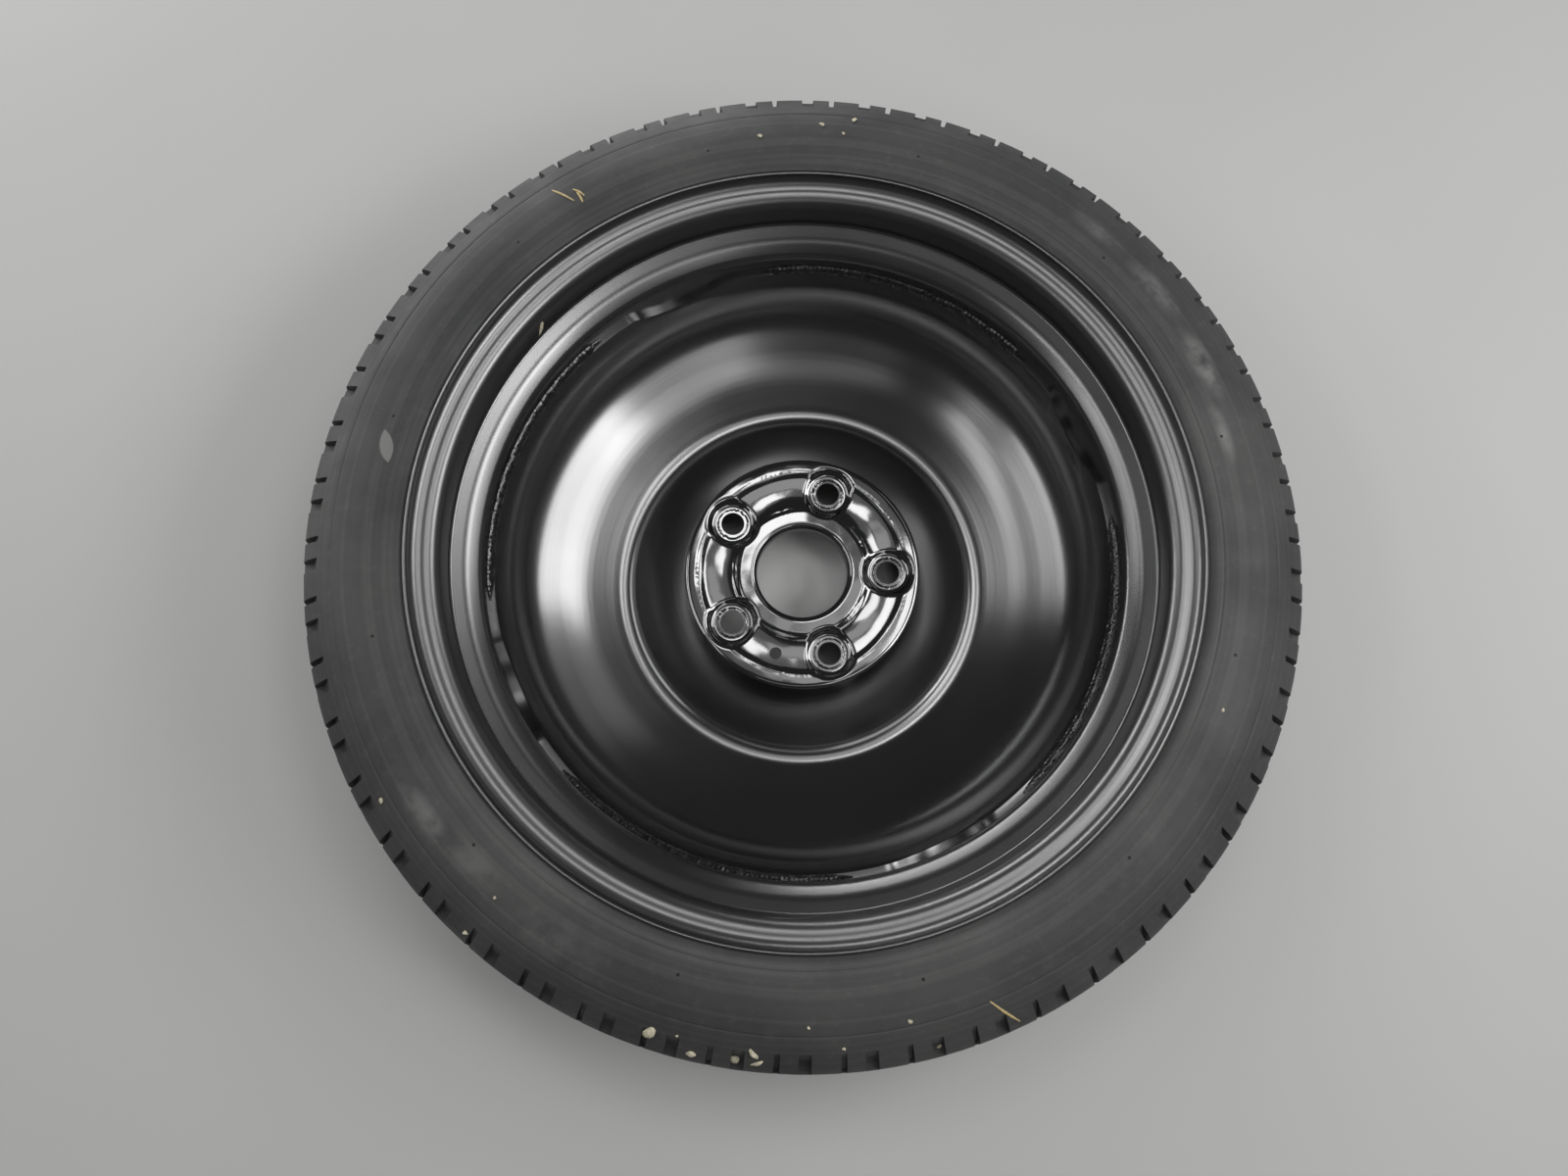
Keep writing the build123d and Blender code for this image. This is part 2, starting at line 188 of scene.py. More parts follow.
class Finishes(bpy.types.PropertyGroup):
    """Colours of the wheel's surfaces."""

    paint: tint("Paint", "Black paint of the rim and the disc", (0.0035, 0.0036, 0.004))
    rubber: tint("Tyre rubber", "Clean tyre rubber", (0.032, 0.0325, 0.033))
    dust: tint("Dust", "Thin dust on the tyre", (0.108, 0.108, 0.104))
    # Also the colour of the painted sheen on the tyre, besides its rubbed marks
    scuff_and_sheen: tint("Scuff", "Pale rubbed patches on the tyre", (0.22, 0.22, 0.215))
    moulded: tint("Moulded black", "Rubber and plastic of the valve", (0.012, 0.012, 0.0125))
    brass: tint("Brass", "Valve stem and core", (0.62, 0.44, 0.17))
    steel: tint("Steel", "Valve spring", (0.5, 0.5, 0.5))
    gasket: tint("Gasket", "Ring round the valve's core", (0.55, 0.06, 0.04))
    straw: tint("Straw", "Bits of dry straw", (0.55, 0.42, 0.20))
    grit: tint("Grit", "Crumbs on the tyre", (0.62, 0.57, 0.43))
    floor: tint("Floor", "Plain floor", (0.5, 0.5, 0.495))


class StageSettings(bpy.types.PropertyGroup):
    """Camera and lights."""

    camera_place: triple("Camera place", "Where the camera stands", (-0.0244, -0.1657, 0.7325))
    camera_aim: triple("Camera aim", "Direction of the view", (0.0165, 0.2065, -0.9783))
    camera_roll: FloatProperty(
        name="Camera roll", description="Turn of the camera about its view", default=-0.0033, subtype="ANGLE"
    )
    lens: FloatProperty(name="Lens", description="Focal length in millimetres", default=26.0, min=1)
    key: level("Key", "Brightness of the softboxes on the right and in front", 6.4)
    fill: level("Fill", "Brightness of the softboxes on the left", 5.0)
    back: level("Back", "Brightness of the low softbox behind", 6.5)
    top: level("Top", "Brightness of the two wide softboxes overhead", 0.35)
    spark: level("Spark", "Brightness of the small softbox overhead", 5.5)
    ambient: level("Ambient", "Strength of the light all round", 0.06)


# Sections


def spread(points, reach):
    """The same line with points added so that no gap is wider than reach."""
    line = [points[0]]
    for start, end in zip(points, points[1:]):
        count = max(1, ceil((end - start).length / reach))
        line += [start.lerp(end, k / count) for k in range(1, count + 1)]
    return line


def arc(centre, start, end, reach, step=ARC_STEP):
    """Points from start to end on the shorter arc about a centre."""
    first = start - centre
    sweep = atan2(first.cross(end - centre), first.dot(end - centre))
    count = max(2, ceil(abs(sweep) / step), ceil(abs(sweep) * first.length / reach))
    turns = [Matrix.Rotation(sweep * k / count, 2) for k in range(count + 1)]
    return [centre + turn @ first for turn in turns]


def rounded_line(corners, bends, reach, step=ARC_STEP):
    """A line through corners, each inner one rounded to its bend radius."""
    line = [Vector(corner) for corner in corners]
    points = [line[0]]
    for before, corner, after, bend in zip(line, line[1:], line[2:], bends):
        into = (before - corner).normalized()
        onward = (after - corner).normalized()
        half = into.angle(onward) / 2
        run = bend / tan(half)
        centre = corner + (into + onward).normalized() * bend / sin(half)
        points += arc(centre, corner + into * run, corner + onward * run, reach, step)
    points.append(line[-1])
    return spread(points, reach)


def offset_line(points, gap):
    """The line moved sideways by gap, to the right of its direction."""
    moved = []
    last = len(points) - 1
    for k, point in enumerate(points):
        along = (points[min(k + 1, last)] - points[max(k - 1, 0)]).normalized()
        moved.append(point + Vector((along.y, -along.x)) * gap)
    return moved


def cut_at_radius(points, radius):
    """The point where a line crosses a radius, and the index of the point after it."""
    for k, (start, end) in enumerate(zip(points, points[1:])):
        if (start.x - radius) * (end.x - radius) <= 0 and start.x != end.x:
            return start.lerp(end, (radius - start.x) / (end.x - start.x)), k + 1
    raise ValueError("the line doesn't reach that radius")


# Meshes


class Shape:
    """Vertices and faces that become one mesh object."""

    def __init__(self):
        self.verts = []
        self.faces = []

    def row(self, points):
        """Add a row of vertices and return their indexes."""
        start = len(self.verts)
        self.verts += [tuple(point) for point in points]
        return list(range(start, len(self.verts)))

    def strip(self, first, second, closed=False):
        """Join two rows of equal length with quads."""
        count = len(first)
        for k in range(count if closed else count - 1):
            m = (k + 1) % count
            self.faces.append((first[k], first[m], second[m], second[k]))

    def skin(self, rows, looped=False, capped=False):
        """Join closed rows in order, back to the first one or with a face over each end."""
        for first, second in zip(rows, rows[1:] + rows[:1] if looped else rows[1:]):
            self.strip(first, second, closed=True)
        if capped:
            self.faces += [rows[0], rows[-1]]

    def lathe(self, section, segments, closed=True):
        """Turn a (radius, height) section about the Z axis."""
        turns = [2 * pi * k / segments for k in range(segments)]
        rows = [self.row(polar(point.x, turn, point.y) for point in section) for turn in turns]
        for first, second in zip(rows, rows[1:] + rows[:1]):
            self.strip(first, second, closed)

    def build(self, name, place=None):
        """Make the object: merged, facing outwards, smooth apart from its sharp edges."""
        mesh = bpy.data.meshes.new(name)
        mesh.from_pydata(self.verts, [], self.faces)
        clean(mesh)
        if place is not None:
            mesh.transform(place)
        return show(name, mesh)


def clean(mesh):
    """Merge doubles, drop flat faces, turn the faces outwards and set the smooth shading."""
    work = bmesh.new()
    work.from_mesh(mesh)
    bmesh.ops.remove_doubles(work, verts=work.verts, dist=MERGE_DISTANCE)
    bmesh.ops.dissolve_degenerate(work, edges=work.edges, dist=MERGE_DISTANCE)
    bmesh.ops.recalc_face_normals(work, faces=work.faces)
    work.to_mesh(mesh)
    work.free()
    smooth(mesh)


def smooth(mesh):
    """Shade a mesh smoothly apart from its sharp edges."""
    mesh.shade_smooth()
    mesh.set_sharp_from_angle(angle=SHARP_ANGLE)


def show(name, data):
    """An object of that mesh, light or camera, in the scene and at the origin."""
    piece = bpy.data.objects.new(name, data)
    bpy.context.scene.collection.objects.link(piece)
    return piece


def paint_with(piece, material):
    """Give a piece one material."""
    piece.data.materials.clear()
    piece.data.materials.append(material)


def settle(piece, material, replaced=()):
    """Paint a wheel piece, let it ride on the wheel and hide the parts that it stands for."""
    paint_with(piece, material)
    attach(piece, WHEEL_BODY)
    if replaced:
        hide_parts(*replaced)


def polar(radius, angle, height):
    """Point at a radius and angle about the wheel's axis."""
    return Vector((radius * cos(angle), radius * sin(angle), height))


def axes_at(place, x_axis, z_axis, turn=0.0):
    """A place with its own X and Z axes, turned about Z."""
    axes = Matrix((x_axis, z_axis.cross(x_axis), z_axis)).transposed() @ Matrix.Rotation(turn, 3, "Z")
    return Matrix.Translation(place) @ axes.to_4x4()


def keep_result(piece, modifier):
    """Turn a modifier's result into the piece's own plain mesh."""
    graph = bpy.context.evaluated_depsgraph_get()
    mesh = bpy.data.meshes.new_from_object(piece.evaluated_get(graph), depsgraph=graph)
    piece.modifiers.remove(modifier)
    old = piece.data
    mesh.name = old.name
    piece.data = mesh
    bpy.data.meshes.remove(old)


# Geometry Nodes


class Nodes:
    """A node tree under construction."""

    def add(self, kind, links=(), **settings):
        """A node with its settings, and links given as (input, output socket) or (input, value)."""
        made = self.tree.nodes.new(kind)
        for key, value in settings.items():
            setattr(made, key, value)
        for key, source in links:
            if isinstance(source, bpy.types.NodeSocket):
                self.tree.links.new(source, made.inputs[key])
            else:
                made.inputs[key].default_value = source
        return made

    def math(self, operation, *values):
        """One calculation with sockets or plain values."""
        return self.add("ShaderNodeMath", enumerate(values), operation=operation).outputs[0]

    def angle_and_height(self, place):
        """A place's angle about the wheel's axis, and its height along it."""
        apart = self.add("ShaderNodeSeparateXYZ", [(0, place)]).outputs
        return self.math("ARCTAN2", apart["Y"], apart["X"]), apart["Z"]


class PieceNodes(Nodes):
    """Geometry Nodes that change a piece, with named inputs for their values and a material."""

    def __init__(self, name, **inputs):
        self.tree = bpy.data.node_groups.new(name, "GeometryNodeTree")
        sockets = {"Geometry": "Geometry", **inputs, "Material": "Material"}
        for label, kind in sockets.items():
            self.tree.interface.new_socket(label, in_out="INPUT", socket_type="NodeSocket" + kind)
        self.tree.interface.new_socket("Geometry", in_out="OUTPUT", socket_type="NodeSocketGeometry")
        self.inputs = self.add("NodeGroupInput").outputs

    def change(self, kind, geometry, **links):
        """What a geometry becomes in a new node."""
        return self.add(kind, [("Geometry", geometry), *links.items()]).outputs[0]

    def finish(self, geometry):
        """Give the result its material and end the tree."""
        painted = self.change("GeometryNodeSetMaterial", geometry, Material=self.inputs["Material"])
        self.add("NodeGroupOutput", [(0, painted)])
        return self.tree


def ring_tree():
    """Copies of the input geometry at equal steps round the Z axis, merged into one mesh."""
    nodes = PieceNodes("Copies round the axis", Count="Int", Start="Float")
    count = nodes.inputs["Count"]
    points = nodes.add("GeometryNodePoints", [("Count", count)]).outputs[0]
    index = nodes.add("GeometryNodeInputIndex").outputs[0]
    turn = nodes.math("MULTIPLY_ADD", index, nodes.math("DIVIDE", 2 * pi, count), nodes.inputs["Start"])
    around = nodes.add("ShaderNodeCombineXYZ", [("Z", turn)]).outputs[0]
    links = [("Points", points), ("Instance", nodes.inputs["Geometry"]), ("Rotation", around)]
    copies = nodes.add("GeometryNodeInstanceOnPoints", links).outputs[0]
    real = nodes.change("GeometryNodeRealizeInstances", copies)
    return nodes.finish(nodes.change("GeometryNodeMergeByDistance", real, Distance=MERGE_DISTANCE))


def ripple_tree():
    """Moves a weld bead's surface in and out with ripples along its run and fixed noise."""
    nodes = PieceNodes("Weld ripples", Ripples="Float", Height="Float", Roughness="Float")
    place = nodes.add("GeometryNodeInputPosition").outputs[0]
    angle, _ = nodes.angle_and_height(place)
    wave = nodes.math("SINE", nodes.math("MULTIPLY", angle, nodes.inputs["Ripples"]))
    ripple = nodes.math("MULTIPLY", wave, nodes.inputs["Height"])
    grain = [("Vector", place), ("Scale", 190.0), ("Detail", 3.0), ("Roughness", 0.6)]
    lumps = nodes.math("SUBTRACT", nodes.add("ShaderNodeTexNoise", grain).outputs["Fac"], 0.5)
    rough = nodes.math("MULTIPLY_ADD", lumps, nodes.inputs["Roughness"], ripple)
    normal = nodes.add("GeometryNodeInputNormal").outputs[0]
    shift = nodes.add("ShaderNodeVectorMath", [(0, normal), ("Scale", rough)], operation="SCALE").outputs[0]
    moved = nodes.change("GeometryNodeSetPosition", nodes.inputs["Geometry"], Offset=shift)
    return nodes.finish(nodes.change("GeometryNodeRealizeInstances", moved))


def apply_tree(piece, tree, **values):
    """Run a tree on a piece with its inputs set by identifier, and keep the result as a plain mesh."""
    modifier = piece.modifiers.new(tree.name, "NODES")
    modifier.node_group = tree
    for item in tree.interface.items_tree:
        if item.in_out == "INPUT" and item.name in values:
            modifier[item.identifier] = values[item.name]
    keep_result(piece, modifier)


# Materials


class Finish(Nodes):
    """A material under construction: its node tree and its surface shader."""

    def __init__(self, name, **sockets):
        self.material = bpy.data.materials.new(name)
        self.material.use_nodes = True
        self.tree = self.material.node_tree
        self.shader = self.tree.nodes["Principled BSDF"]
        self.coords = self.add("ShaderNodeTexCoord").outputs["Object"]
        for label, value in sockets.items():
            self.shader.inputs[label.replace("_", " ")].default_value = value

    def noise(self, scale, detail=2.0, roughness=0.5, vector=None):
        """Noise in the piece's own coordinates, from 0 to 1."""
        source = self.coords if vector is None else vector
        links = [("Vector", source), ("Scale", scale), ("Detail", detail), ("Roughness", roughness)]
        return self.add("ShaderNodeTexNoise", links).outputs["Fac"]

    def span(self, value, low, high, to_low=0.0, to_high=1.0):
        """Map a value smoothly from one range to another, and stop at its ends."""
        ends = {"From Min": low, "From Max": high, "To Min": to_low, "To Max": to_high}
        links = [("Value", value), *ends.items()]
        return self.add("ShaderNodeMapRange", links, interpolation_type="SMOOTHSTEP").outputs[0]

    def blend(self, share, first, second):
        """A colour between two, each a socket or a plain colour."""
        ends = [end if isinstance(end, bpy.types.NodeSocket) else (*end, 1) for end in (first, second)]
        links = [(0, share), (6, ends[0]), (7, ends[1])]
        return self.add("ShaderNodeMix", links, data_type="RGBA").outputs[2]

    def vector(self, operation, *values):
        """The outputs of one calculation with vectors."""
        return self.add("ShaderNodeVectorMath", enumerate(values), operation=operation).outputs

    def flat(self):
        """Place across the wheel's axis."""
        return self.vector("MULTIPLY", self.coords, (1, 1, 0))["Vector"]

    def radius(self):
        """Distance from the wheel's axis."""
        return self.vector("LENGTH", self.flat())["Value"]

    def rings(self, scale, detail=2.0):
        """Noise that is the same all the way round the wheel's axis."""
        height = self.add("ShaderNodeSeparateXYZ", [(0, self.coords)]).outputs["Z"]
        around = self.add("ShaderNodeCombineXYZ", [("X", self.radius()), ("Y", height)])
        return self.noise(scale, detail, vector=around.outputs[0])

    def dots(self, count, radius, start, length, width, core):
        """1 in the core of equal ovals on a circle about the wheel's axis, fading to 0 at their edges."""
        angle, _ = self.angle_and_height(self.coords)
        turns = self.math("DIVIDE", self.math("SUBTRACT", angle, start), 2 * pi / count)
        aside = self.math("SUBTRACT", turns, self.math("ROUND", turns))
        along = self.math("MULTIPLY", aside, 2 * pi / count * radius / length)
        across = self.math("DIVIDE", self.math("SUBTRACT", self.radius(), radius), width)
        oval = self.add("ShaderNodeCombineXYZ", [("X", along), ("Y", across)]).outputs[0]
        return self.span(self.vector("LENGTH", oval)["Value"], core, 1.0, 1.0, 0.0)

    def scratch(self, height, start, sweep, drop, width):
        """1 on a thin line that follows a circle about the wheel's axis and then bends down."""
        angle, z = self.angle_and_height(self.coords)
        share = self.math("DIVIDE", self.math("SUBTRACT", angle, start), sweep)
        bend = self.math("MULTIPLY", self.math("POWER", self.math("MAXIMUM", share, 0.0), 3.0), drop)
        away = self.math("ABSOLUTE", self.math("ADD", self.math("SUBTRACT", z, height), bend))
        line = self.span(away, 0.3 * width, width, 1.0, 0.0)
        ends = self.math("MULTIPLY", self.span(share, 0.0, 0.3), self.span(share, 0.8, 1.0, 1.0, 0.0))
        return self.math("MULTIPLY", line, ends)

    def feed(self, socket, source):
        """Link a value to one of the shader's sockets."""
        self.tree.links.new(source, self.shader.inputs[socket])

    def bump(self, height, strength, depth):
        """Raise the surface by a height, on top of any bump already there."""
        links = [("Height", height), ("Strength", strength), ("Distance", depth)]
        made = self.add("ShaderNodeBump", links)
        old = self.shader.inputs["Normal"].links
        if old:
            self.tree.links.new(old[0].from_socket, made.inputs["Normal"])
        self.feed("Normal", made.outputs[0])


# Stretches of radius over which the black paint changes
PAD_END = (0.068, 0.078)
BOWL_START = (0.074, 0.1)
DISC_END = (0.188, 0.194)
SLOPE_START = (0.196, 0.2)
LIP_START = (0.212, 0.216)
# The scratch low in the rim: its height, first angle, sweep, drop at the end and half width
RIM_SCRATCH = (0.084, radians(-97.3), radians(11.1), 0.02, 0.001)
# Colours on worn or dirty paint
PAINT_DUST = (0.018, 0.018, 0.017)
BARE_SCRATCH = (0.15, 0.14, 0.12)
WORN_WELD = (0.05, 0.048, 0.045)


def black_paint(colours):
    """Glossy black paint with orange peel, drawing rings, a wavy hub pad, a duller bowl and a scratch."""
    paint = Finish("black_paint", IOR=1.8, Specular_IOR_Level=1.0)
    radius = paint.radius()
    dust = paint.span(paint.noise(38.0, 6.0, 0.65), 0.62, 0.86, 0.0, 0.3)
    dusty = paint.blend(dust, colours.paint, PAINT_DUST)
    paint.feed("Base Color", paint.blend(paint.scratch(*RIM_SCRATCH), dusty, BARE_SCRATCH))
    dull = paint.span(paint.noise(11.0, 3.0), 0.3, 0.7, 0.0, 0.04)
    steps = ((BOWL_START, 0.08, 0.19), (SLOPE_START, 0.0, 0.04), (LIP_START, 0.0, 0.07))
    for stretch, before, after in steps:
        dull = paint.math("ADD", dull, paint.span(radius, *stretch, before, after))
    paint.feed("Roughness", dull)
    pad = paint.span(radius, *PAD_END, 1.0, 0.0)
    paint.bump(paint.math("MULTIPLY", paint.noise(40.0, 1.0), pad), 0.3, 0.0026)
    drawn = paint.span(radius, *DISC_END, 1.0, 0.0)
    paint.bump(paint.math("MULTIPLY", paint.rings(210.0), drawn), 0.06, 0.0006)
    paint.bump(paint.noise(420.0, 2.0), 0.012, 0.0004)
    return paint.material


def weld_finish(colours):
    """Painted weld metal: lumpy, with bright worn tops."""
    weld = Finish("weld_finish", Specular_IOR_Level=0.8)
    worn = weld.span(weld.noise(330.0, 4.0), 0.58, 0.75, 0.0, 0.6)
    weld.feed("Base Color", weld.blend(worn, colours.paint, WORN_WELD))
    weld.feed("Roughness", weld.span(weld.noise(260.0, 2.0), 0.3, 0.7, 0.12, 0.34))
    weld.bump(weld.noise(900.0, 3.0), 0.35, 0.0005)
    return weld.material


# Pale patches on the tyre: the four on the right are rubbed smears with painted sheen in them, the three low
# on the left are painted sheen; each has a radius, angle, half length, half width and strength
SMEARS_AND_SHEEN = (
    (0.2655, 47.0, 0.026, 0.008, 0.35),
    (0.2640, 36.0, 0.030, 0.010, 0.45),
    (0.2615, 24.0, 0.030, 0.010, 0.75),
    (0.2550, 14.0, 0.026, 0.006, 0.6),
    (0.2640, 217.0, 0.034, 0.010, 0.5),
    (0.2600, 225.0, 0.030, 0.012, 0.35),
    (0.2640, 238.0, 0.040, 0.016, 0.2),
)
# A leaf-shaped rubbed mark on the tyre: the radius and angle of each tip, its width, and where its edge
# fades
LEAF_TIPS = ((0.2555, 165.6), (0.2474, 170.2))
LEAF_WIDTH = 0.0085
LEAF_EDGE = (-0.0008, 0.0002)
# Vent pits on the sidewall, dented with bump and darkened with painted shade: number, radius, first angle,
# two half sizes and full share
VENTS = (12, 0.2529, radians(13.7), 0.0011, 0.0011, 0.6)


def leaf_scuff(rubber):
    """1 within the leaf-shaped rubbed mark, where two round spots overlap."""
    first, second = (polar(radius, radians(angle), 0) for radius, angle in LEAF_TIPS)
    half, half_width = (second - first) / 2, LEAF_WIDTH / 2
    reach = (half.length_squared + half_width**2) / (2 * half_width)
    aside = Vector((-half.y, half.x, 0)).normalized() * (reach - half_width)
    flat = rubber.flat()
    sides = []
    for centre in (first + half + aside, first + half - aside):
        away = rubber.vector("DISTANCE", flat, centre)["Value"]
        sides.append(rubber.span(away, reach + LEAF_EDGE[0], reach + LEAF_EDGE[1], 1.0, 0.0))
    return rubber.math("MULTIPLY", *sides)


def darker(colour, share):
    """A share of a colour."""
    return tuple(share * channel for channel in colour)


def tyre_rubber(colours):
    """Dusty black rubber with rubbed patches, painted sheen, vent pits darkened with painted shade, and fine
    moulding grain.
    """
    rubber = Finish("tyre_rubber", Specular_IOR_Level=0.42)
    cloud = rubber.span(rubber.noise(9.0, 5.0, 0.6), 0.32, 0.72, 0.0, 0.35)
    fine = rubber.span(rubber.noise(160.0, 4.0, 0.7), 0.5, 0.8, 0.0, 0.22)
    drawn = rubber.span(rubber.rings(330.0, 3.0), 0.42, 0.7, 0.0, 0.2)
    base = rubber.math("ADD", rubber.math("ADD", cloud, fine), drawn)
    shade = rubber.blend(base, colours.rubber, colours.dust)
    # Pale patches: rubbed smears and the leaf-shaped mark, and painted sheen where the tyre catches the
    # light
    rubbed_and_sheen = 0.0
    for radius, angle, length, width, strength in SMEARS_AND_SHEEN:
        smear_or_sheen = rubber.dots(1, radius, radians(angle), length, width, 0.1)
        rubbed_and_sheen = rubber.math("MAXIMUM", rubber.math("MULTIPLY", smear_or_sheen, strength), rubbed_and_sheen)
    rubbed_and_sheen = rubber.math("MULTIPLY", rubbed_and_sheen, rubber.span(rubber.noise(62.0, 4.0, 0.55), 0.28, 0.62))
    rubbed_and_sheen = rubber.math("MAXIMUM", rubber.math("MULTIPLY", leaf_scuff(rubber), 0.75), rubbed_and_sheen)
    shade = rubber.blend(rubbed_and_sheen, shade, colours.scuff_and_sheen)
    vents = rubber.dots(*VENTS)
    # Painted shade: the vent pits are darkened to a share of the rubber's colour
    rubber.feed("Base Color", rubber.blend(vents, shade, darker(colours.rubber, 0.3)))
    rubber.feed("Roughness", rubber.span(rubber.noise(24.0, 3.0), 0.3, 0.7, 0.56, 0.72))
    rubber.bump(rubber.noise(1300.0, 2.0), 0.12, 0.0004)
    rubber.bump(rubber.math("SUBTRACT", 1.0, vents), 0.8, 0.0008)
    return rubber.material


def plain_finish(name, colour, low, high, scale, **sockets):
    """A small part's finish: one colour with fine noise in its shade and its roughness."""
    finish = Finish(name, **sockets)
    shade = finish.span(finish.noise(scale, 3.0), 0.3, 0.7)
    finish.feed("Base Color", finish.blend(shade, darker(colour, 0.7), colour))
    finish.feed("Roughness", finish.span(finish.noise(2 * scale, 2.0), 0.3, 0.7, low, high))
    finish.bump(finish.noise(4 * scale, 2.0), 0.1, 0.0001)
    return finish.material


def wheel_paint():
    """The black paint, made once and shared by the rim and the disc."""
    made = bpy.data.materials.get("black_paint")
    return made or black_paint(bpy.context.scene.spare_wheel_finishes)


# Rim


def rim_line(sizes, reach):
    """Tyre side of the rim's section, from the inboard lip to the outboard lip."""
    face = sizes.width / 2
    top = sizes.seat_radius + sizes.flange_height
    seat_taper, well_slope, arc_step = radians(5), radians(59), radians(5)
    lip_drop, hump_rise = 0.0015, 0.0011
    lip_bend, heel_bend, seat_bend, hump_bend, well_bend = 0.0095, 0.006, 0.004, 0.0055, 0.006
    # A rounded ridge stands in the inboard slope only
    ridge_rise, ridge_reach, ridge_bend = 0.0075, 0.0065, 0.015
    seat_end = sizes.seat_radius - sizes.seat_length * tan(seat_taper)
    hump = seat_end + hump_rise
    flank = [
        (top - lip_drop, face + sizes.flange_lip),
        (top, face),
        (sizes.seat_radius, face),
        (seat_end, face - sizes.seat_length),
        (hump, sizes.well_half_width + (hump - sizes.well_radius) / tan(well_slope)),
    ]
    ridge = (sizes.well_radius + ridge_rise, sizes.well_half_width + ridge_reach)
    well = (sizes.well_radius, sizes.well_half_width)
    corners = [(r, sizes.offset + u) for r, u in [*flank, ridge, well]]
    corners += [(r, sizes.offset - u) for r, u in [well, *flank[::-1]]]
    bends = [lip_bend, heel_bend, seat_bend, hump_bend]
    return rounded_line(corners, [*bends, ridge_bend, well_bend, well_bend, *bends[::-1]], reach, arc_step)


def rounded_end(first, second, steps=12):
    """Points of a half round between the ends of a sheet's two surfaces."""
    centre = (first + second) / 2
    start = first - centre
    return [centre + Matrix.Rotation(pi * k / steps, 2) @ start for k in range(1, steps)]


def trim_line(points, cut):
    """The line without the first stretch of that length and the last one."""
    for _ in range(2):
        left = cut
        while (points[1] - points[0]).length <= left:
            left -= (points[1] - points[0]).length
            points = points[1:]
        points = [points[0].lerp(points[1], left / (points[1] - points[0]).length)] + points[1:]
        points = points[::-1]
    return points


def valve_place():
    """Turns the valve's own axes, with Z out along the stem, into the wheel's frame."""
    cap_turn = JOINTS["cap_turn"]
    return axes_at(cap_turn["pos_m"], Vector((1, 0, 0)), Vector(cap_turn["axis"]).normalized())


def cut_round_hole(piece, place, radius, depth, segments=48):
    """Cut a round hole through a piece along Z of a place."""
    corners = ((0, -depth), (radius, -depth), (radius, depth), (0, depth))
    drill = Shape()
    drill.lathe([Vector(corner) for corner in corners], segments, closed=False)
    tool = drill.build("drill", place)
    cut = piece.modifiers.new("hole", "BOOLEAN")
    cut.object = tool
    cut.solver = "EXACT"
    keep_result(piece, cut)
    bpy.data.objects.remove(tool)
    smooth(piece.data)


class SPAREWHEEL_OT_rim(bpy.types.Operator):
    """Build the rolled rim"""

    bl_idname = "spare_wheel.rim"
    bl_label = "Rim"

    reach, segments = 0.009, 288
    valve_hole, drill_depth = 0.00575, 0.006

    def execute(self, context):
        sizes = context.scene.spare_wheel_rim
        outer = trim_line(rim_line(sizes, self.reach), sizes.gauge / 2)
        inner = offset_line(outer, sizes.gauge)
        section = outer + rounded_end(outer[-1], inner[-1]) + inner[::-1] + rounded_end(inner[0], outer[0])
        shape = Shape()
        shape.lathe(section, self.segments)
        rim = shape.build("rim_shell")
        cut_round_hole(rim, valve_place(), self.valve_hole, self.drill_depth)
        settle(rim, wheel_paint(), ["rim"])
        return {"FINISHED"}


# Disc


def soft_min(first, second, blend):
    """The lower of two heights, rounded where they cross."""
    gap = np.maximum(blend - np.abs(first - second), 0)
    return np.minimum(first, second) - gap**2 / (4 * blend)


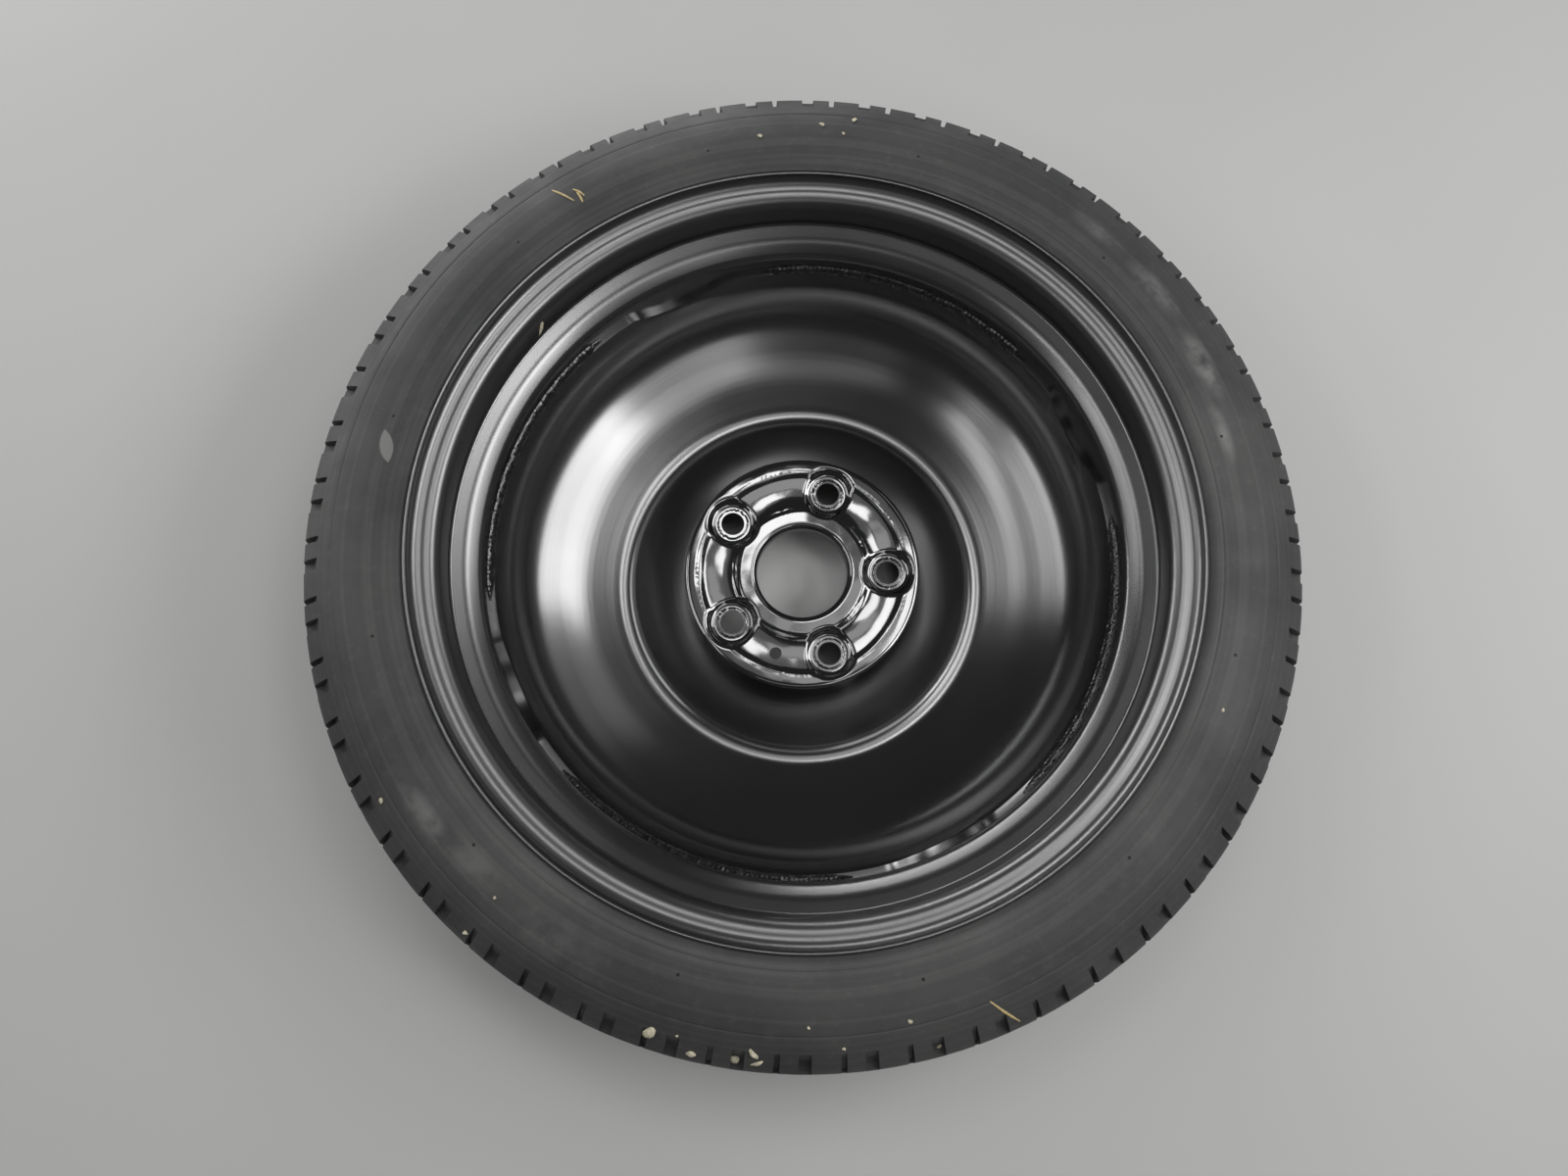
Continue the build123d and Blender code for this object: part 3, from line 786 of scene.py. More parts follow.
class PressedDisc:
    """The disc's two surfaces: turned rings outside and inside the hub pad, and a pad with its holes."""

    segments = 240
    # Radii of the pad's grid, and how far past them its height is sampled
    pad_inside, pad_outside = 0.0346, 0.080
    sample_inside, sample_outside = 0.002, 0.004
    pad_steps, pad_rings, back_rings = 40, 36, 14
    # Power by which the pad's rings crowd towards its holes
    crowding = 1.25
    stud_angles = [radians(72 * k) for k in range(5)]
    locating_angle, locating_hole, locating_half_arc = radians(252), 0.004, radians(7.5)
    valley_angles = [radians(25 + 90 * k) for k in range(4)]
    valley_half_arc, valley_inside, valley_foot = radians(9.5), 0.19, 0.022
    dish_wall, edge_round = 0.0044, 0.0018
    ring_radius, ring_height, ring_wall = 0.0102, 0.001, 0.0008
    band_middle, band_inside, band_outside = 0.0547, 0.0093, 0.0117
    band_sag, band_swell, band_fade = 0.0011, 0.0008, 0.27
    seat_radius, seat_slope = 0.009, tan(radians(60))

    def __init__(self, sizes, rim):
        self.sizes = sizes
        self.shape = Shape()
        self.outer_radius = rim.well_radius - rim.gauge
        self.front = self.front_line()
        self.back = offset_line(self.front, -sizes.gauge)

    def front_line(self):
        """Inboard surface from the welded edge to the end of the bore."""
        sizes = self.sizes
        edge = self.outer_radius - sizes.gauge
        bowl_top, bowl_knee = Vector((0.181, 0.0)), Vector((0.152, -0.020))
        crown = Vector((sizes.crown_radius, -sizes.crown_depth))
        edge_bend, knee_bend, crown_bend, pad_bend, band_bend = 0.048, 0.160, 0.014, 0.0055, 0.0038
        bore_bend, bore_depth = 0.0042, 0.0099
        outer_land, inner_land, wall, reach = 0.007, 0.008, 0.0032, 0.004
        bowl_slope = (bowl_top.y - bowl_knee.y) / (bowl_top.x - bowl_knee.x)
        rise = atan2(bowl_knee.y - crown.y, bowl_knee.x - crown.x)
        fall = atan2(-crown.y, crown.x - sizes.pad_radius)
        sink = crown_bend * (cos((fall - rise) / 2) / cos((fall + rise) / 2) - 1)
        band_outside = sizes.pad_radius - outer_land
        band_inside = sizes.bore + bore_bend + inner_land
        corners = [
            (edge, sizes.edge_height),
            (edge, bowl_top.y + (edge - bowl_top.x) * bowl_slope),
            bowl_knee,
            (crown.x, crown.y - sink),
            (sizes.pad_radius, 0),
            (band_outside, 0),
            (band_outside - wall, -sizes.band_depth),
            (band_inside + wall, -sizes.band_depth),
            (band_inside, 0),
            (sizes.bore, 0),
            (sizes.bore, -bore_depth),
        ]
        bends = [edge_bend, knee_bend, crown_bend, pad_bend, *[band_bend] * 4, bore_bend]
        return rounded_line(corners, bends, reach)

    def edge_drop(self, angle):
        """How far the welded edge dips at an angle."""
        reach = self.outer_radius * sin(self.valley_half_arc)
        depth = self.sizes.valley_depth
        curve = (reach**2 + depth**2) / (2 * depth)
        for valley in self.valley_angles:
            aside = self.outer_radius * sin(angle - valley)
            if cos(angle - valley) > 0 and abs(aside) < reach:
                return sqrt(curve**2 - aside**2) - (curve - depth)
        return 0.0

    def ring(self, point):
        """A closed row of vertices at a section point, dipped with the edge."""
        share = 0.0
        if point.x > self.valley_inside:
            share = max(0.0, (point.y - self.valley_foot) / (self.sizes.edge_height - self.valley_foot))
        turns = [2 * pi * k / self.segments for k in range(self.segments)]
        return self.shape.row(polar(point.x, t, point.y - share * self.edge_drop(t)) for t in turns)

    def turned(self, points):
        """Join rings along a stretch of section and return the first and the last."""
        rings = [self.ring(point) for point in points]
        self.shape.skin(rings)
        return rings[0], rings[-1]

    def bow(self, x, y):
        """How far the pad's band bows up towards its two sides, and between the stud holes."""
        aside = np.hypot(x, y) - self.band_middle
        share = np.where(aside < 0, -aside / self.band_inside, aside / self.band_outside)
        fade = np.clip((1 + self.band_fade - share) / self.band_fade, 0, 1)
        between = (1 - np.cos(len(self.stud_angles) * np.arctan2(y, x))) / 2
        return (self.band_sag * share**2 + self.band_swell * between) * fade

    def height(self, line, x, y, behind):
        """Height of a pad surface over the points of the hub plane."""
        sizes = self.sizes
        gauge = sizes.gauge if behind else 0
        inside, outside = self.pad_inside - self.sample_inside, self.pad_outside + self.sample_outside
        radii, heights = np.array(sorted((p.x, p.y) for p in line if inside < p.x < outside)).T
        surface = np.interp(np.hypot(x, y), radii, heights) + self.bow(x, y)
        floor, rim = -sizes.dish_depth - gauge, sizes.dish_radius + gauge
        middle = sizes.stud_circle / 2
        for angle in self.stud_angles:
            away = np.hypot(x - middle * cos(angle), y - middle * sin(angle))
            slope = (away - rim) * sizes.dish_depth / self.dish_wall - gauge
            dish = -soft_min(-slope, -floor, self.edge_round)
            surface = soft_min(surface, dish, self.edge_round)
            if behind:
                surface += np.clip(self.seat_radius - away, 0, None) * self.seat_slope
            else:
                ring = np.clip((self.ring_radius - away) / self.ring_wall, 0, 1)
                surface += self.ring_height * ring**2 * (3 - 2 * ring)
        return surface

    def block_edge(self, start, end):
        """Points round a block of the pad between two angles, counter-clockwise."""
        count = round((end - start) / (2 * pi / self.segments))
        radii = np.linspace(self.pad_inside, self.pad_outside, self.pad_steps + 1)
        angles = np.linspace(start, end, count + 1)
        sides = [(r, start) for r in radii[:-1]] + [(self.pad_outside, a) for a in angles[:-1]]
        sides += [(r, end) for r in radii[:0:-1]] + [(self.pad_inside, a) for a in angles[:0:-1]]
        return np.array([(r * cos(a), r * sin(a)) for r, a in sides])

    def block(self, start, end, hole_angle, hole_radius):
        """One block of the pad round a hole: both surfaces and the hole's wall."""
        edge = self.block_edge(start, end)
        middle = self.sizes.stud_circle / 2 * np.array((cos(hole_angle), sin(hole_angle)))
        ways = edge - middle
        hole = middle + ways / np.linalg.norm(ways, axis=1)[:, None] * hole_radius
        walls = []
        for line, rings, behind in ((self.front, self.pad_rings, False), (self.back, self.back_rings, True)):
            rows = []
            for k in range(rings + 1):
                flat = hole + (edge - hole) * (k / rings) ** self.crowding
                heights = self.height(line, flat[:, 0], flat[:, 1], behind)
                rows.append(self.shape.row(np.column_stack((flat, heights))))
            self.shape.skin(rows)
            walls.append(rows[0])
        self.shape.skin(walls)

    def build(self, name):
        """All the disc's surfaces as one object."""
        ends = []
        for line in (self.front, self.back):
            outside, stop = cut_at_radius(line, self.pad_outside)
            inside, start = cut_at_radius(line, self.pad_inside)
            edge, _ = self.turned([*line[:stop], outside])
            _, bore = self.turned([inside, *line[start:]])
            ends.append((edge, bore))
        for pair in zip(*ends):
            self.shape.skin(pair)
        small, half_arc = self.locating_angle, self.locating_half_arc
        cuts = [radians(a) for a in (-36, 36, 108, 180)] + [small - half_arc, small + half_arc, radians(324)]
        holes = [(angle, self.sizes.stud_hole) for angle in self.stud_angles] + [(small, self.locating_hole)]
        for start, end, (angle, radius) in zip(cuts, cuts[1:], sorted(holes)):
            self.block(start, end, angle, radius)
        return self.shape.build(name)


class SPAREWHEEL_OT_disc(bpy.types.Operator):
    """Build the pressed disc"""

    bl_idname = "spare_wheel.disc"
    bl_label = "Disc"

    def execute(self, context):
        scene = context.scene
        disc = PressedDisc(scene.spare_wheel_disc, scene.spare_wheel_rim).build("disc_pressing")
        settle(disc, wheel_paint(), ["wheel_disc"])
        return {"FINISHED"}


# Welds


class SPAREWHEEL_OT_welds(bpy.types.Operator):
    """Build the four runs of weld between the disc and the rim"""

    bl_idname = "spare_wheel.welds"
    bl_label = "Welds"

    runs, start, middle, half_arc = 4, radians(25), radians(45), radians(28)
    steps, bulge_steps = 220, 8
    leg, bulge = 0.0046, 0.0007
    # Share of the full size at a run's end, and how fast it grows from there
    end_size, growth = 0.25, 14
    ripples, ripple_height, lump_height = 420.0, 0.00016, 0.0016

    def execute(self, context):
        scene = context.scene
        disc, rim = scene.spare_wheel_disc, scene.spare_wheel_rim
        welds = self.run(disc, rim.well_radius - rim.gauge)
        paint = weld_finish(scene.spare_wheel_finishes)
        ripples = {"Ripples": self.ripples, "Height": self.ripple_height, "Roughness": self.lump_height}
        apply_tree(welds, ring_tree(), Count=self.runs, Start=self.start, Material=paint)
        apply_tree(welds, ripple_tree(), Material=paint, **ripples)
        clean(welds.data)
        settle(welds, paint, ["weld_beads"])
        return {"FINISHED"}

    def run(self, disc, radius):
        """One run of plain bead, tapering at its two ends."""
        lean = atan2(disc.gauge, self.leg)
        outwards = Vector((-cos(lean), sin(lean)))
        corner = Vector((radius, disc.edge_height))
        shape = Shape()
        rows = []
        for k in range(self.steps + 1):
            angle = self.middle + self.half_arc * (2 * k / self.steps - 1)
            size = min(1.0, self.end_size + self.growth * min(k, self.steps - k) / self.steps)
            top, foot = corner + Vector((0, self.leg * size)), corner - Vector((disc.gauge * size, 0))
            points = [corner, top]
            for m in range(1, self.bulge_steps):
                share = m / self.bulge_steps
                swell = 4 * self.bulge * size * share * (1 - share)
                points.append(top.lerp(foot, share) + outwards * swell)
            points.append(foot)
            rows.append(shape.row(polar(p.x, angle, p.y) for p in points))
        shape.skin(rows, capped=True)
        return shape.build("weld_runs")


# Tyre


def circles_meet(first, first_radius, second, second_radius):
    """The crossing of two circles that lies further out on the section's upper side."""
    apart = second - first
    along = (apart.length_squared + first_radius**2 - second_radius**2) / (2 * apart.length)
    aside = sqrt(first_radius**2 - along**2)
    unit = apart.normalized()
    return first + unit * along + Vector((-unit.y, unit.x)) * aside


class TyreWedge:
    """One pitch of the tyre, with cut sides that match, so that copies of it close the ring."""

    # Fractions of the pitch: a plain row's vertices, the notches' middles, half of a notch wall's run
    coarse = [0.0, 0.25, 0.5, 0.75, 1.0]
    slot_place, pocket_place, notch_wall = 0.25, 0.67, 0.0025
    # Fractions closer than this are one
    tolerance = 1e-6
    # Points of the section, as (radius, distance from the tread's middle plane)
    exit = Vector((0.237, 0.0607))
    # Radius of each rib, and its share of the ribs' height
    ribs = ((0.2417, 1.0), (0.2757, 0.75))
    rib_half_width, rib_steps = 0.0011, 3
    notch_foot, notch_margin, notch_lip = Vector((0.2855, 0.050)), 0.002, 0.0001
    slot_top = Vector((0.298, 0.026))
    pocket_corner, pocket_top = Vector((0.2916, 0.038)), Vector((0.2985, 0.0347))
    tread_edge, tread_middle = 0.020, (0.006, 0.003)
    groove_shoulder, groove_draft = 0.0012, 0.00012
    toe, bead_gap, bead_reach = 0.0318, 0.0002, 0.006
    bead_end, lip_rest = 0.0584, Vector((0.2346, 0.0588))
    inside = ((0.2223, toe), (0.243, 0.0543), (0.277, 0.0503), (0.290, 0.029))
    shoulder_rows, sidewall_rows = 18, 24

    def __init__(self, sizes, rim):
        self.sizes = sizes
        self.rim = rim
        self.shape = Shape()
        self.pitch = 2 * pi / sizes.pitches
        self.line = self.outside_line()
        steps = [(b - a).length for a, b in zip(self.line, self.line[1:])]
        self.lengths = np.concatenate(([0.0], np.cumsum(steps)))
        self.foot_length = self.length_at(0, self.notch_foot.x)
        around = sizes.shoulder_radius * self.pitch
        self.notches = {
            "slot": (self.slot_place, sizes.slot_width / around / 2),
            "pocket": (self.pocket_place, sizes.pocket_width / around / 2),
        }

    def outside_line(self):
        """Half of the outside, from the tread's middle to the rim, as (radius, distance)."""
        sizes = self.sizes
        reach = 0.0004
        widest = Vector((sizes.widest_radius, sizes.section_width / 2))
        edge = Vector((sizes.shoulder_radius, sizes.tread_half_width))
        crown = Vector((sizes.crown_radius, 0.0))
        side_radius = (edge - widest).length_squared / (2 * (widest.y - edge.y))
        side_centre = widest - Vector((0, side_radius))
        crown_curve = (edge - crown).length_squared / (2 * (crown.x - edge.x))
        crown_centre = crown - Vector((crown_curve, 0))
        bend = sizes.shoulder_round
        centre = circles_meet(crown_centre, crown_curve - bend, side_centre, side_radius - bend)
        on_crown = crown_centre + (centre - crown_centre).normalized() * crown_curve
        on_side = side_centre + (centre - side_centre).normalized() * side_radius
        foot_radius = (self.exit - widest).length_squared / (2 * (widest.y - self.exit.y))
        line = arc(crown_centre, crown, on_crown, reach) + arc(centre, on_crown, on_side, reach)[1:]
        line += arc(side_centre, on_side, widest, reach)[1:]
        return line + arc(widest - Vector((0, foot_radius)), widest, self.exit, reach)[1:]

    def at(self, length):
        """The outside's point at a length from the tread's middle, raised where a rib runs."""
        k = min(int(np.searchsorted(self.lengths, length, "right")) - 1, len(self.line) - 2)
        share = (length - self.lengths[k]) / (self.lengths[k + 1] - self.lengths[k])
        point = self.line[k].lerp(self.line[k + 1], share)
        along = (self.line[k + 1] - self.line[k]).normalized()
        for radius, part in self.ribs:
            aside = abs(point.x - radius) / self.rib_half_width
            if aside < 1 and length > self.foot_length:
                rise = self.sizes.rib_height * part * cos(aside * pi / 2) ** 2
                point = point + Vector((-along.y, along.x)) * rise
        return point

    def length_at(self, key, value):
        """Length from the tread's middle at which the outside first passes a radius or a distance."""
        for k, (start, end) in enumerate(zip(self.line, self.line[1:])):
            if (start[key] - value) * (end[key] - value) <= 0 and start[key] != end[key]:
                if key or start.y > self.sizes.tread_half_width / 2:
                    share = (value - start[key]) / (end[key] - start[key])
                    return self.lengths[k] + share * (self.lengths[k + 1] - self.lengths[k])
        raise ValueError("the tyre's outside doesn't pass there")

    def columns(self, shift):
        """Fractions of the pitch at which a shoulder's columns stand, with what each one lies in."""
        fractions = set(self.coarse)
        for place, half in self.notches.values():
            middle = (place + shift) % 1
            fractions.add(middle)
            for edge in (middle - half, middle + half):
                fractions |= {edge - self.notch_wall, edge + self.notch_wall}
        return [(fraction, self.kind(fraction, shift)) for fraction in sorted(fractions)]

    def kind(self, fraction, shift):
        """What a column lies in: the slot, the pocket or the plain skin."""
        for name, (place, half) in self.notches.items():
            if abs(fraction - (place + shift) % 1) < half:
                return name
        return "skin"

    def shoulder(self, shift):
        """Rows of a notched shoulder, from the sidewall to the tread, each with its columns."""
        foot = self.foot_length
        starts = {"slot": self.length_at(1, self.slot_top.y), "pocket": self.length_at(1, self.pocket_top.y)}
        inner, outer = starts["slot"] - self.notch_margin, foot + self.notch_margin
        lengths = list(np.linspace(outer, inner, self.shoulder_rows))
        for mark in (foot, *starts.values()):
            lengths += [mark - self.notch_lip, mark + self.notch_lip]
        floors = {
            "slot": [self.notch_foot, self.slot_top],
            "pocket": [self.notch_foot, self.pocket_corner, self.pocket_top],
        }
        columns = self.columns(shift)
        rows = []
        for length in sorted(lengths, reverse=True):
            skin = self.at(length)
            row = []
            for fraction, kind in columns:
                point = skin
                if kind != "skin" and starts[kind] < length < foot:
                    point = along_line(floors[kind], (foot - length) / (foot - starts[kind]))
                row.append((fraction, point))
            rows.append(row)
        return rows

    def tread(self):
        """Points across half of the tread, from the shoulder to the middle, with the groove."""
        sizes = self.sizes
        half, lip, draft = sizes.groove_width / 2, self.groove_shoulder, self.groove_draft
        outer, inner = sizes.groove_offset + half, sizes.groove_offset - half
        tops = [self.tread_edge, outer + lip, outer, inner, inner - lip, *self.tread_middle]
        points = [self.at(self.length_at(1, u)) for u in tops]
        floors = [points[k].x - sizes.groove_depth for k in (2, 3)]
        groove = ((floors[0], outer - draft), (floors[0], sizes.groove_offset), (floors[1], inner + draft))
        return points[:3] + [Vector(point) for point in groove] + points[3:]

    def sidewall(self):
        """Points from the rim to the foot of the shoulder."""
        first, last = self.lengths[-1], self.foot_length + self.notch_margin
        lengths = set(np.linspace(first, last, self.sidewall_rows)[:-1])
        steps = range(-self.rib_steps, self.rib_steps + 1)
        for radius, _ in self.ribs:
            middle = self.length_at(0, radius)
            lengths |= {middle + self.rib_half_width * k / self.rib_steps for k in steps}
        return [self.at(length) for length in sorted(lengths, reverse=True) if last < length <= first]

    def bead(self):
        """Points from the toe to the rim's lip, just off the rim."""
        rim = offset_line(rim_line(self.rim, self.bead_reach), -self.bead_gap)
        seat = [Vector((p.x, p.y - self.rim.offset)) for p in rim]
        resting = [p for p in seat if self.toe < p.y < self.bead_end]
        return [Vector((resting[-1].x, self.toe))] + resting[::-1] + [self.lip_rest]

    def cavity(self):
        """Points of the inside, from the outboard toe to the inboard one."""
        return [Vector((r, -u)) for r, u in self.inside] + [Vector(point) for point in self.inside[::-1]]

    def plain(self, points):
        """Rows that keep to one point of the section each."""
        return [[(fraction, point) for fraction in self.coarse] for point in points]

    def mirrored(self, rows):
        """The rows of the other side, in reverse order."""
        return [[(fraction, Vector((p.x, -p.y))) for fraction, p in row] for row in rows[::-1]]

    def build(self, name):
        """The wedge as one open object."""
        side, tread = self.plain(self.bead() + self.sidewall()), self.plain(self.tread())
        rows = side + self.shoulder(0.0) + tread + self.plain([self.at(0.0)])
        for other in (tread, self.shoulder(0.5), side):
            rows += self.mirrored(other)
        rows += self.plain(self.cavity())
        made = []
        for row in rows:
            spots = [polar(p.x, fraction * self.pitch, p.y + self.rim.offset) for fraction, p in row]
            made.append([(fraction, vert) for (fraction, _), vert in zip(row, self.shape.row(spots))])
        for first, second in zip(made, made[1:] + made[:1]):
            self.stitch(first, second)
        return self.shape.build(name)

    def stitch(self, first, second):
        """Join two rows, where the sparser one's fractions are all in the other."""
        sparse, full = (first, second) if len(first) <= len(second) else (second, first)
        for (low, a), (high, b) in zip(sparse, sparse[1:]):
            between = [v for f, v in full if low - self.tolerance <= f <= high + self.tolerance]
            self.shape.faces.append((a, b, *between[::-1]))


def along_line(points, share):
    """The point at a share of a line's length."""
    steps = [(b - a).length for a, b in zip(points, points[1:])]
    left = share * sum(steps)
    for start, end, step in zip(points, points[1:], steps):
        if left <= step:
            return start.lerp(end, left / step)
        left -= step
    return points[-1]


class SPAREWHEEL_OT_tyre(bpy.types.Operator):
    """Build the tyre"""

    bl_idname = "spare_wheel.tyre"
    bl_label = "Tyre"

    def execute(self, context):
        scene = context.scene
        sizes = scene.spare_wheel_tyre
        wedge = TyreWedge(sizes, scene.spare_wheel_rim)
        tyre = wedge.build("tyre_casing")
        rubber = tyre_rubber(scene.spare_wheel_finishes)
        start = -wedge.slot_place * wedge.pitch
        apply_tree(tyre, ring_tree(), Count=sizes.pitches, Start=start, Material=rubber)
        clean(tyre.data)
        settle(tyre, rubber, ["tyre"])
        return {"FINISHED"}


# Valve


class SPAREWHEEL_OT_valve(bpy.types.Operator):
    """Thread the valve's stem, wind its spring and finish its small parts"""

    bl_idname = "spare_wheel.valve"
    bl_label = "Valve"

    def execute(self, context):
        scene = context.scene
        sizes, colours = scene.spare_wheel_valve, scene.spare_wheel_finishes
        place = valve_place()
        brass = plain_finish("turned_brass", colours.brass, 0.2, 0.34, 700.0, Metallic=1.0)
        steel = plain_finish("spring_wire", colours.steel, 0.25, 0.4, 900.0, Metallic=1.0)
        seal = plain_finish("seal_rubber", colours.moulded, 0.6, 0.75, 900.0)
        finishes = {
            "valve_body": plain_finish("valve_rubber", colours.moulded, 0.42, 0.58, 500.0),
            "valve_core_body": brass,
            "valve_core_pin": brass,
            "valve_core_gasket": plain_finish("gasket_plastic", colours.gasket, 0.4, 0.5, 900.0),
            "valve_core_seal": seal,
            "valve_cap": plain_finish("cap_plastic", colours.moulded, 0.38, 0.5, 800.0),
            "valve_cap_seal": seal,
        }
        for name, finish in finishes.items():
            paint_with(NODES[name], finish)
        settle(self.stem(sizes).build("threaded_stem", place), brass, ["valve_stem"])
        spring = self.spring(sizes).build("wound_spring", place)
        settle(spring, steel, ["valve_core_spring"])
        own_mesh(spring)
        return {"FINISHED"}

    def stem(self, sizes):
        """Brass tube with a stepped bore, whose outer end carries a helical thread."""
        segments, steps, run_out, edge = 40, 8, 2, 0.0005
        shape = Shape()
        turns = [2 * pi * k / segments for k in range(segments)]
        low, high = sizes.rubber_length, sizes.stem_length - edge
        count = round((high - low) / sizes.thread_pitch * steps)
        rings = []
        for k in range(count + 1):
            height = low + (high - low) * k / count
            depth = sizes.thread_depth * min(1.0, min(k, count - k) / (run_out * steps))
            row = []
            for turn in turns:
                phase = height / sizes.thread_pitch - turn / (2 * pi)
                radius = sizes.stem_radius - depth * abs(2 * (phase % 1) - 1)
                row.append(polar(radius, turn, height))
            rings.append(shape.row(row))
        ledge = sizes.stem_length - sizes.chamber_depth
        plain = [
            (sizes.stem_radius - edge, sizes.stem_length),
            (sizes.chamber_radius, sizes.stem_length),
            (sizes.chamber_radius, ledge + sizes.chamber_radius - sizes.air_hole),
            (sizes.air_hole, ledge),
            (sizes.air_hole, -sizes.stem_tail),
            (sizes.stem_root, -sizes.stem_tail),
            (sizes.stem_root, sizes.rubber_length),
        ]
        rings += [shape.row(polar(radius, turn, height) for turn in turns) for radius, height in plain]
        shape.skin(rings, looped=True)
        return shape

    def spring(self, sizes):
        """Round wire wound into a coil."""
        steps, sides = 24, 8
        count = steps * sizes.spring_turns
        rise = sizes.spring_length - 2 * sizes.spring_wire
        shape = Shape()
        rings = []
        for k in range(count + 1):
            turn = 2 * pi * k / steps
            height = sizes.spring_foot + sizes.spring_wire + rise * k / count
            row = []
            for m in range(sides):
                lean = 2 * pi * m / sides
                radius = sizes.spring_radius + sizes.spring_wire * cos(lean)
                row.append(polar(radius, turn, height + sizes.spring_wire * sin(lean)))
            rings.append(shape.row(row))
        shape.skin(rings, capped=True)
        return shape


# Dirt

# Bits of straw on the tyre, each from one radius and angle to another
STRAWS = (
    (0.2705, 125.4, 0.2544, 123.9),
    (0.2623, 123.1, 0.2541, 122.3),
    (0.2591, 122.9, 0.2507, 123.0),
    (0.2752, 290.5, 0.2930, 293.0),
)
# Crumbs on the tyre: radius, angle, length and width
CRUMBS = (
    (0.2863, 252.4, 0.0080, 0.0060),
    (0.2905, 251.9, 0.0025, 0.0020),
    (0.2922, 257.3, 0.0050, 0.0034),
    (0.2908, 261.9, 0.0066, 0.0056),
    (0.2863, 263.8, 0.0076, 0.0032),
    (0.2916, 264.3, 0.0074, 0.0024),
    (0.2842, 255.4, 0.0016, 0.0014),
    (0.2823, 273.6, 0.0022, 0.0018),
    (0.2703, 269.7, 0.0018, 0.0016),
    (0.2726, 281.2, 0.0028, 0.0020),
    (0.2914, 284.0, 0.0040, 0.0026),
    (0.2811, 212.4, 0.0032, 0.0024),
    (0.2913, 229.6, 0.0034, 0.0024),
    (0.2647, 229.9, 0.0020, 0.0016),
    (0.2667, 87.6, 0.0032, 0.0024),
    (0.2727, 83.3, 0.0042, 0.0022),
    (0.2605, 84.6, 0.0024, 0.0016),
    (0.2581, 96.2, 0.0030, 0.0024),
    (0.2546, 336.3, 0.0022, 0.0016),
)


